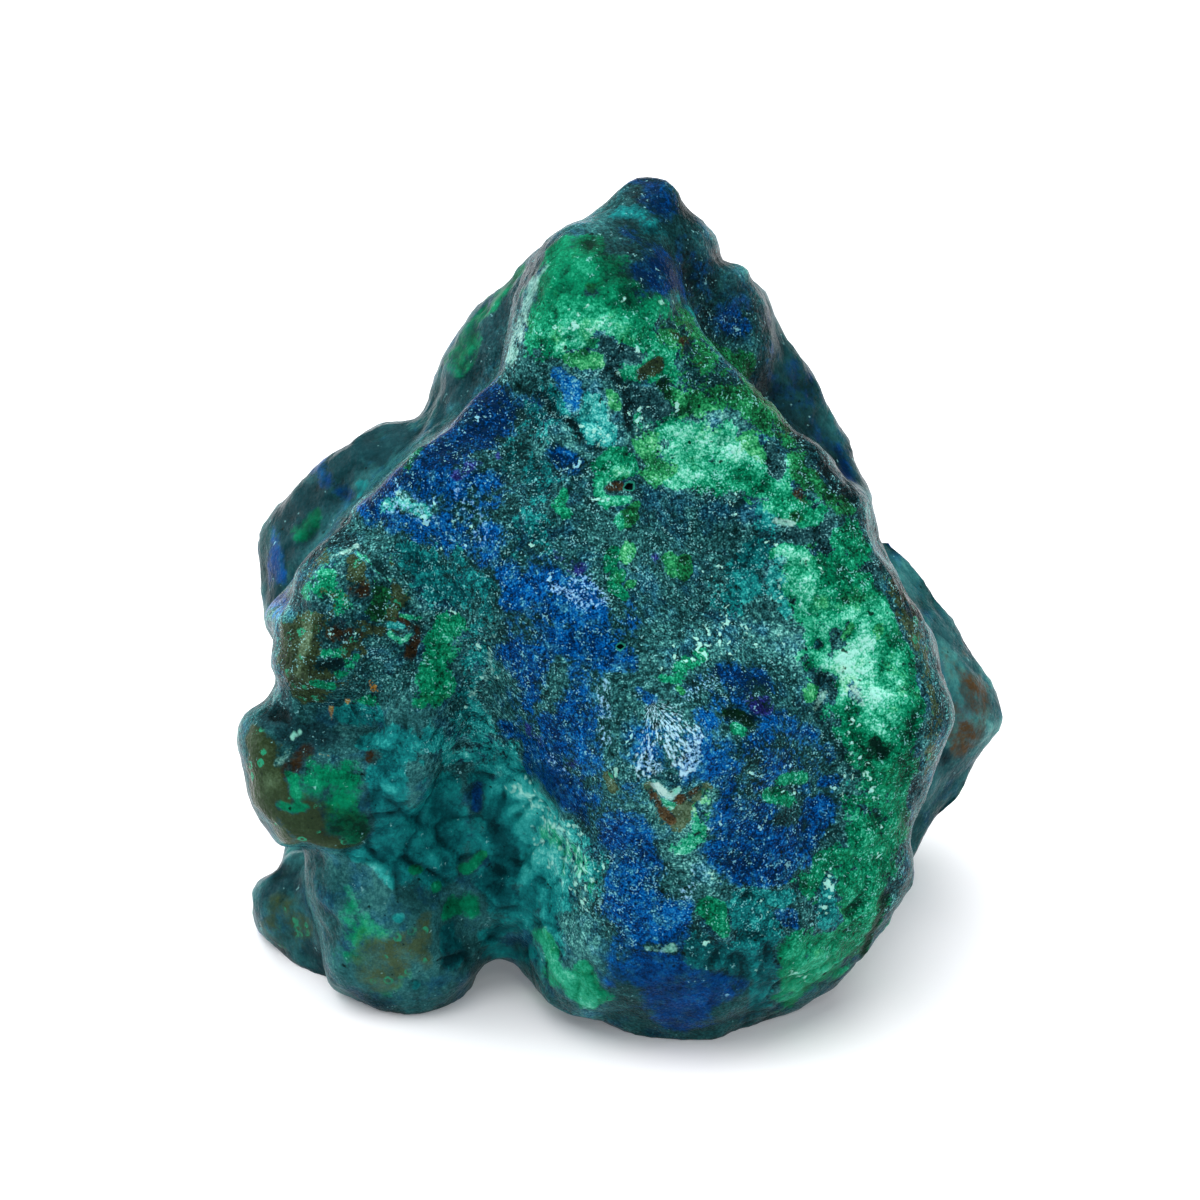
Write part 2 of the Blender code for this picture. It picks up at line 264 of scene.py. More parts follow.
# %% The cube's net


def cube_net(n):
    """Six grids of n by n squares.  A grid point is a whole-number place on the cube's
    surface, and places shared by two or three sides get one number.  Returns the places
    from -1 to 1, and each side's grid of point numbers."""
    a, b = np.meshgrid(np.arange(n + 1), np.arange(n + 1), indexing="ij")
    low, high = np.zeros_like(a), np.full_like(a, n)
    sides = [(high, a, b), (low, b, a), (b, high, a), (a, low, b), (a, b, high), (b, a, low)]
    places = np.stack([np.stack(s, -1) for s in sides]).reshape(-1, 3)
    key = (places[:, 0] * (n + 1) + places[:, 1]) * (n + 1) + places[:, 2]
    _, first, number = np.unique(key, return_index=True, return_inverse=True)
    return places[first] * (2.0 / n) - 1.0, number.reshape(6, n + 1, n + 1)


def net_edges(grid):
    """Pairs of neighbouring point numbers, along both directions of every side's grid."""
    along = np.stack([grid[:, :-1], grid[:, 1:]], -1).reshape(-1, 2)
    across = np.stack([grid[:, :, :-1], grid[:, :, 1:]], -1).reshape(-1, 2)
    return np.concatenate([along, across])


def net_quads(grid):
    """Four-sided faces, wound so that they face outwards."""
    return np.stack([grid[:, :-1, :-1], grid[:, 1:, :-1], grid[:, 1:, 1:], grid[:, :-1, 1:]],
                    -1).reshape(-1, 4)


def halve(points, grid, n):
    """Doubles a net's fineness: new places are the means of two or four old neighbours."""
    old = points[grid]
    rows = np.zeros((6, 2 * n + 1, n + 1, 3))
    rows[:, ::2] = old
    rows[:, 1::2] = (old[:, 1:] + old[:, :-1]) / 2.0
    full = np.zeros((6, 2 * n + 1, 2 * n + 1, 3))
    full[:, :, ::2] = rows
    full[:, :, 1::2] = (rows[:, :, 1:] + rows[:, :, :-1]) / 2.0
    places, fine = cube_net(2 * n)
    made = np.zeros((len(places), 3))
    made[fine.reshape(-1)] = full.reshape(-1, 3)
    return made, fine


# %% March in, settle, halve, settle
FORWARD = 0.25                  # how far the cube's rays lean out, for more points on the face
FAR_OUTSIDE = 40.0              # mm from the heart, beyond every part of the stone
MARCH_STEPS = 60


def march(places):
    """Distance from the heart to the surface along each direction: starting outside, step in
    by a share of the rule's value until it is zero."""
    rays = np.tan(places * radians(45.0))
    rays /= np.linalg.norm(rays, axis=1)[:, None]
    rays += FORWARD * OUT
    rays /= np.linalg.norm(rays, axis=1)[:, None]
    reach = np.full(len(rays), FAR_OUTSIDE)
    for _ in range(MARCH_STEPS):
        reach = reach - 0.7 * np.clip(distance(HEART + rays * reach[:, None]), -1.0, 4.0)
        reach = np.maximum(reach, 0.5)
    return HEART + rays * reach[:, None]


def settle(points, edges, rounds):
    """Half way to the mean of the neighbours, the far ones counting for more by the square
    of their distance, then back along the gradient by value over gradient squared."""
    count = len(points)
    ends = np.concatenate([edges, edges[:, ::-1]])
    for _ in range(rounds):
        pull = points[ends[:, 1]] - points[ends[:, 0]]
        weight = (pull ** 2).sum(1)
        total = np.bincount(ends[:, 0], weight, count)[:, None]
        shift = np.stack([np.bincount(ends[:, 0], weight * pull[:, k], count)
                          for k in range(3)], 1)
        points = points + 0.5 * shift / total
        value, normal = slope(points)
        size = np.maximum((normal ** 2).sum(1), 0.2)
        points = points - np.clip(value / size, -0.8, 0.8)[:, None] * normal
    return points


START_GRID = 16
ROUNDS = [24, 8, 4, 2]          # settling rounds at 16, 32, 64 and 128 squares a side
places, grid = cube_net(START_GRID)
points = settle(march(places), net_edges(grid), ROUNDS[0])
squares = START_GRID
for rounds in ROUNDS[1:]:
    points, grid = halve(points, grid, squares)
    squares *= 2
    points = settle(points, net_edges(grid), rounds)
normal = slope(points)[1]
normal /= np.linalg.norm(normal, axis=1)[:, None]
print("net:", squares, "squares a side,", len(points), "points")

# %% [markdown]
# ## Worn undulation
#
# No face of a tumbled stone is true.  Smooth noise on a lattice, stirred by a slower noise
# so that no lattice shows, lifts and sinks the surface by a few tenths of a millimetre.
# The same noise with the same seeds shapes the solid, so the two agree.

# %% Lattice noise


def hashed(corner, seed):
    """A whole number for each lattice corner: the three places times large primes and the
    seed, joined by exclusive or, then scrambled.  Returns it, and three parts of it from 0
    to 1023."""
    mixed = (corner * np.array([73856093, 19349663, 83492791])).T
    h = mixed[0] ^ mixed[1] ^ mixed[2] ^ (seed * 2654435)
    h = ((h ^ (h >> 13)) * 1274126177) & 0xFFFFFFFF
    h = h ^ (h >> 16)
    return h, np.stack([h & 1023, (h >> 10) & 1023, (h >> 20) & 1023], 1)


def rumble(q, seed):
    """Gradient noise: every lattice corner has a hashed slope, and the slopes' heights are
    mixed by a smooth share of how near each corner is.  About -0.7 to 0.7."""
    cell = np.floor(q).astype(np.int64)
    f = q - cell
    w = f * f * f * (f * (f * 6.0 - 15.0) + 10.0)
    total = np.zeros(len(q))
    for corner in np.ndindex(2, 2, 2):
        slopes = hashed(cell + np.array(corner), seed)[1] / 511.5 - 1.0
        share = np.where(corner, w, 1.0 - w).prod(1)
        total += share * (slopes * (f - np.array(corner))).sum(1)
    return total


def rumbles(q, *seeds):
    """Three noises side by side, as a wandering offset."""
    return np.stack([rumble(q, seed) for seed in seeds], 1)


def undulation(p):
    """A slow noise and a small one, both stirred by a slower one, in millimetres of lift."""
    swirl = rumbles(p / 5.0, 11, 12, 13)
    turned = p @ np.array([[0.8, 0.36, 0.48], [-0.6, 0.48, 0.64], [0.0, -0.8, 0.6]])
    return (0.30 * 1.6 * rumble((turned + 1.5 * swirl) / 3.4, 3)
            + 0.09 * 1.6 * rumble((turned + swirl) / 1.6, 5))


def smoothstep(low, high, x):
    """0 below low, 1 above high, and 3 t squared less 2 t cubed between."""
    t = np.clip((x - low) / (high - low), 0.0, 1.0)
    return t * t * (3.0 - 2.0 * t)


points = points + normal * undulation(points)[:, None]
print("undulation added")

# %% [markdown]
# ## Where each mineral lies
#
# The blue, green, blue-green and brown are not paint: each is a body of its own mineral cut
# by the worn surface.  They could be one big noise, but this stone's patches are its face,
# so each is placed one by one, as a stroke with a soft edge along a few places on the leaning
# face.  A stroke is laid on the surface in three dimensions, so it does not stain a ridge
# that lies behind it, and its outline is stirred by noise so that it wanders.  The shader
# sharpens the edges.
# Not every stroke is mineral: a few paint a highlight, and one paints shade; each is marked where it lies.

# %% Finding places on the surface
q = to_face(points)
seen = as_seen(q)
seen_across, seen_up = seen.T


def on_surface(across, up):
    """The nearest-to-the-viewer place on the stone that looks to be at (across, up)."""
    near = np.hypot(seen_across - across, seen_up - up)
    close = np.where(near < max(0.3, near.min() + 0.15))[0]
    return q[close[np.argmax(q[close, 2])]]


stir = 0.75 * rumbles(points / 2.6, 21, 22, 23) + 0.40 * rumbles(points / 1.1, 24, 25, 26)
stirred = q + 1.3 * stir


def stroke(route, soft=None):
    """Share of a patch laid along a chain of (across, up, half width), 1 well inside and 0
    outside.  The distance to each leg is divided by the half width there; outwards it is
    divided by 1.2 half widths and 0.8 mm more, so a patch bends with the surface.  Wide
    patches have softer edges than narrow ones unless soft is given."""
    posts = np.array([[*on_surface(across, up), half] for across, up, half in route])
    soft = soft or min(0.45 + 0.4 * posts[:, 3].max(), 0.9)
    reach = (1.0 + soft) * posts[:, 3].max() + 1.2
    near = np.where(((q[:, :2] > posts[:, :2].min(0) - reach)
                     & (q[:, :2] < posts[:, :2].max(0) + reach)).all(1))[0]
    best = np.full(len(near), 9.0)
    for a, b in zip(posts, posts[1:] if len(posts) > 1 else posts):
        p = q[near] + min(2.6, 2.2 * a[3]) * stir[near]
        along = b[:3] - a[:3]
        t = np.clip((p - a[:3]) @ along / max(along @ along, 1e-9), 0.0, 1.0)
        half = a[3] + t * (b[3] - a[3])
        d = p - a[:3] - t[:, None] * along
        best = np.minimum(best, np.sqrt((d[:, 0] ** 2 + d[:, 1] ** 2) / half ** 2
                                        + (d[:, 2] / (1.2 * half + 0.8)) ** 2))
    share = np.zeros(len(q))
    share[near] = smoothstep(1.0 + soft, 1.0 - soft, best)
    return share


print("points face the viewer:", int((normal @ OUT > 0).sum()))

# %% [markdown]
# The strokes go from broad to small, and a later one covers an earlier one by its strength.
# Each is a mineral, its tone (0 dark, 1 pale), its strength, and places along it: across,
# up and half width in millimetres.  "slate" takes the minerals away and leaves the blue-grey
# ground.

# %% Broad bodies that the smaller patches lie in
PATCHES = [
    ("malachite", 0.40, 0.95, [(-1.0, 14.4, 2.6), (1.6, 13.2, 1.8), (4.6, 10.8, 2.3), (6.4, 8.8, 2.2)]),
    ("malachite", 0.62, 0.90, [(2.6, 6.8, 1.4), (6.4, 6.6, 1.6), (8.8, 4.8, 1.3), (10.8, 3.4, 1.2)]),
    ("malachite", 0.46, 0.95, [(9.6, 1.2, 1.5), (11.6, 0.4, 2.2), (12.6, -2.4, 2.6), (13.6, -5.2, 2.0)]),
    ("malachite", 0.38, 0.90, [(13.6, -7.8, 1.6), (13.4, -11.4, 1.7), (12.0, -14.8, 2.0),
                               (10.0, -17.8, 2.2)]),
    ("azurite", 0.18, 0.80, [(-4.6, 8.8, 1.6), (-7.2, 7.0, 1.8), (-9.8, 5.0, 1.5)]),
    ("azurite", 0.34, 0.52, [(-9.0, 3.4, 1.3), (-6.4, 2.8, 1.5), (-3.6, 0.6, 1.6), (-0.8, 0.2, 1.5),
                             (0.8, -2.0, 1.5)]),
    ("azurite", 0.30, 0.56, [(-3.8, -2.4, 1.6), (-3.0, -5.6, 2.1), (-2.2, -8.4, 1.6)]),
    ("azurite", 0.36, 0.48, [(-0.6, -4.0, 1.8), (0.4, -7.6, 2.2), (0.8, -11.0, 1.8)]),
    ("azurite", 0.24, 0.54, [(6.8, -4.0, 1.8), (8.6, -6.6, 2.2), (8.0, -10.0, 2.6), (8.6, -12.2, 2.0)]),
    ("azurite", 0.32, 0.42, [(5.6, -8.2, 1.2), (5.6, -12.2, 1.4)]),
    ("grass", 0.50, 0.34, [(2.4, -10.0, 1.0), (4.2, -10.6, 1.2)]),
    ("azurite", 0.28, 0.80, [(1.2, -13.4, 1.5), (2.2, -15.6, 1.6), (3.6, -18.6, 2.2)]),
    ("chrysocolla", 0.40, 0.70, [(-9.8, -7.4, 1.8), (-9.4, -11.2, 2.1), (-7.0, -12.4, 1.8)]),
    ("chrysocolla", 0.52, 0.80, [(-5.8, -6.6, 1.2), (-4.4, -10.4, 2.0), (-2.6, -13.2, 2.1),
                                 (-2.4, -16.4, 1.9)]),
    ("chrysocolla", 0.30, 0.60, [(7.4, -15.6, 1.6), (7.4, -18.2, 1.6)]),
    ("chrysocolla", 0.26, 0.45, [(-8.4, 1.6, 1.6), (-6.4, -1.2, 1.4), (-6.6, -4.4, 1.4)]),
    ("chrysocolla", 0.36, 0.50, [(7.4, 3.0, 1.3), (7.2, 0.2, 1.3)]),
    ("chrysocolla", 0.16, 0.45, [(-3.2, 9.6, 1.4), (-3.2, 5.6, 1.8), (-3.0, 3.0, 1.6)]),
    ("limonite", 0.30, 0.95, [(-12.6, 1.0, 1.6), (-11.8, -0.8, 2.0), (-13.6, -2.8, 1.8)]),
    ("limonite", 0.30, 0.90, [(-15.8, -7.6, 1.6), (-14.2, -9.8, 1.6), (-12.6, -10.4, 1.2)]),
]
print("patches so far:", len(PATCHES))

# %% [markdown]
# The upper part comes to a point.  Its crest is the greenest place on the stone, and the
# ridges behind it are nearly black, which is what makes the crest stand out.

# %% Patches of the crest, the ridges and the lobes behind
PATCHES += [
    # lobes behind the left edge
    ("basalt", 0.42, 1.0, [(-7.4, 9.6, 1.2), (-6.4, 11.6, 1.7), (-5.0, 13.6, 1.6), (-2.6, 16.2, 1.2)]),
    ("malachite", 0.30, 0.7, [(-7.2, 11.0, 0.6), (-6.6, 12.2, 0.8), (-5.4, 14.0, 0.6), (-4.2, 15.4, 0.6)]),
    ("malachite", 0.14, 0.7, [(-2.4, 16.6, 0.6)]),
    ("basalt", 0.40, 1.0, [(-10.2, 7.8, 1.3), (-13.0, 6.0, 1.5), (-15.0, 3.4, 1.4), (-15.4, 0.6, 1.0)]),
    ("basalt", 0.30, 1.0, [(-12.8, 3.2, 1.2), (-13.8, 2.2, 1.0)]),
    ("azurite", 0.10, 0.6, [(-13.4, 6.4, 0.8), (-12.2, 5.4, 0.6)]),
    ("azurite", 0.36, 0.9, [(-15.7, 2.6, 0.6), (-15.5, 1.2, 0.7), (-15.2, -0.2, 0.6)]),
    ("malachite", 0.18, 0.7, [(-14.2, 3.4, 0.5), (-13.7, 3.9, 0.4)]),
    ("chrysocolla", 0.32, 0.7, [(-11.4, 5.3, 0.5)]),
    # the crest
    ("malachite", 0.36, 1.0, [(-2.6, 14.6, 1.3), (-1.2, 15.8, 1.4), (0.4, 14.8, 1.6)]),
    ("malachite", 0.26, 1.0, [(-0.4, 17.0, 0.7), (1.0, 16.6, 0.8), (1.3, 15.2, 0.6)]),
    ("malachite", 0.44, 1.0, [(-1.4, 16.2, 0.8), (-0.6, 15.8, 0.7)]),
    ("malachite", 0.52, 1.0, [(-3.0, 13.2, 0.8), (-1.0, 13.4, 1.2), (1.4, 13.2, 1.1)]),
    ("malachite", 0.62, 1.0, [(-2.4, 12.7, 0.5), (-0.6, 12.7, 0.6), (1.2, 12.7, 0.5)]),
    ("grass", 0.26, 0.7, [(-0.3, 14.9, 0.35)]),
    # painted reflection: a pale streak down the crest's left flank, where it faces the left lamp
    ("chalk", 0.46, 0.50, [(-4.45, 11.6, 0.30), (-4.15, 12.6, 0.42), (-3.9, 13.6, 0.36),
                           (-3.5, 14.8, 0.28), (-2.6, 15.9, 0.20)]),
    # the apex and the ridge behind it
    ("basalt", 0.34, 1.0, [(2.6, 19.0, 1.6), (3.2, 17.2, 2.0), (4.6, 14.8, 2.0)]),
    ("azurite", 0.02, 0.55, [(2.8, 18.6, 1.4), (3.0, 16.0, 1.4), (5.0, 14.4, 1.4)]),
    ("azurite", 0.02, 0.5, [(2.2, 19.2, 0.9), (3.0, 18.8, 0.7)]),
    ("chrysocolla", 0.34, 0.8, [(0.9, 18.4, 0.5), (1.8, 18.3, 0.4)]),
    ("chrysocolla", 0.20, 0.6, [(2.8, 17.5, 0.7), (3.4, 17.2, 0.5)]),
    ("azurite", 0.10, 0.9, [(2.1, 16.0, 0.5), (3.2, 15.2, 0.8), (4.0, 14.7, 0.5)]),
    ("azurite", 0.16, 0.8, [(5.2, 14.6, 0.5), (5.9, 14.1, 0.4)]),
    ("chrysocolla", 0.36, 0.9, [(4.2, 13.8, 0.45), (4.5, 13.5, 0.35)]),
    ("basalt", 0.26, 1.0, [(6.6, 13.6, 1.4), (8.4, 11.6, 1.6), (9.6, 9.2, 1.6), (11.2, 6.8, 1.5),
                           (12.0, 5.2, 1.0)]),
    ("azurite", 0.06, 0.40, [(6.4, 13.4, 1.2), (8.6, 11.0, 1.3), (10.6, 8.0, 1.2), (11.8, 6.0, 0.8)]),
    # painted shade: a near-black strip along the ridge's edge
    ("basalt", 0.02, 1.0, [(7.8, 10.4, 0.5), (9.0, 8.2, 0.7), (10.6, 6.0, 0.7), (11.6, 5.2, 0.4)]),
    ("azurite", 0.20, 0.7, [(6.4, 13.1, 0.4), (6.9, 12.7, 0.3)]),
    ("umber", 0.42, 0.22, [(6.2, 14.0, 1.2), (8.8, 10.6, 1.3), (11.0, 7.4, 1.3)]),
    ("azurite", 0.05, 0.6, [(11.6, 6.4, 0.4), (11.2, 7.2, 0.3)]),
    # the green and olive ridge on the right
    ("malachite", 0.44, 1.0, [(2.6, 12.6, 0.8), (3.2, 11.4, 0.9), (4.2, 10.2, 1.1)]),
    ("grass", 0.46, 0.95, [(3.9, 12.5, 0.9), (5.0, 11.3, 1.3), (6.2, 10.0, 1.4), (7.3, 8.6, 1.2)]),
    ("grass", 0.48, 1.0, [(4.4, 9.2, 0.8), (5.8, 8.8, 0.9), (7.0, 8.2, 0.7)]),
    ("grass", 0.22, 0.9, [(5.4, 12.4, 0.4), (6.9, 10.9, 0.5), (8.0, 9.6, 0.5), (8.8, 8.2, 0.4)]),
    ("umber", 0.06, 0.40, [(3.9, 12.7, 0.5), (4.4, 11.7, 0.7), (5.0, 10.9, 0.9), (6.2, 10.6, 0.7)]),
    ("umber", 0.35, 0.42, [(6.0, 8.5, 0.6), (7.2, 8.4, 0.5)]),
    ("grass", 0.34, 0.9, [(8.0, 9.2, 0.5), (8.9, 7.7, 0.6), (9.7, 6.3, 0.6), (10.5, 5.3, 0.6),
                          (11.4, 4.4, 0.5)]),
    ("malachite", 0.42, 0.55, [(8.6, 7.2, 0.4), (9.6, 5.6, 0.5), (10.6, 4.7, 0.4)]),
    ("umber", 0.25, 0.40, [(8.5, 8.5, 0.35), (10.5, 5.8, 0.35), (11.3, 4.8, 0.3)]),
    ("limonite", 0.26, 0.85, [(2.25, 10.55, 0.3), (2.75, 10.85, 0.42)]),
    ("grass", 0.10, 0.9, [(3.1, 9.7, 0.4), (3.4, 9.2, 0.3)]),
    ("malachite", 0.46, 0.9, [(1.6, 10.4, 0.3)]),
    # plates below the crest
    ("basalt", 0.44, 1.0, [(-0.2, 11.8, 0.5), (0.7, 11.6, 0.5), (0.5, 10.8, 0.5)]),
    ("basalt", 0.46, 1.0, [(1.3, 11.7, 0.4), (1.8, 11.4, 0.4)]),
    ("basalt", 0.42, 0.9, [(1.8, 9.4, 0.6), (3.2, 8.7, 0.5)]),
    ("malachite", 0.66, 1.0, [(-1.8, 11.8, 0.5), (-0.9, 11.9, 0.45)]),
    ("grass", 0.58, 1.0, [(-1.6, 11.1, 0.28), (-0.9, 11.0, 0.34), (-0.4, 11.2, 0.3)]),
    ("azurite", 0.66, 1.0, [(-2.1, 10.6, 0.38), (-1.7, 10.0, 0.5), (-1.4, 9.5, 0.38)]),
    ("chrysocolla", 0.44, 0.9, [(-2.7, 9.7, 0.35), (-1.9, 8.9, 0.35)]),
    ("chrysocolla", 0.66, 0.9, [(-0.6, 9.5, 0.5), (-0.4, 8.6, 0.7), (0.5, 8.2, 0.5)]),
    ("grass", 0.52, 1.0, [(0.3, 9.7, 0.26), (0.95, 9.3, 0.28)]),
    ("basalt", 0.16, 0.65, [(0.9, 10.4, 0.22), (1.3, 9.5, 0.22), (1.7, 8.2, 0.22)]),
    ("basalt", 0.16, 0.6, [(-3.2, 9.9, 0.16), (-2.4, 8.9, 0.16), (-1.2, 8.6, 0.16), (-0.7, 7.7, 0.16)]),
]
print("patches so far:", len(PATCHES))

# %% [markdown]
# Down the left side, knobs stained brown with limonite stand out of blue-green, and a hollow
# valley of chrysocolla runs down beside them to the foot.

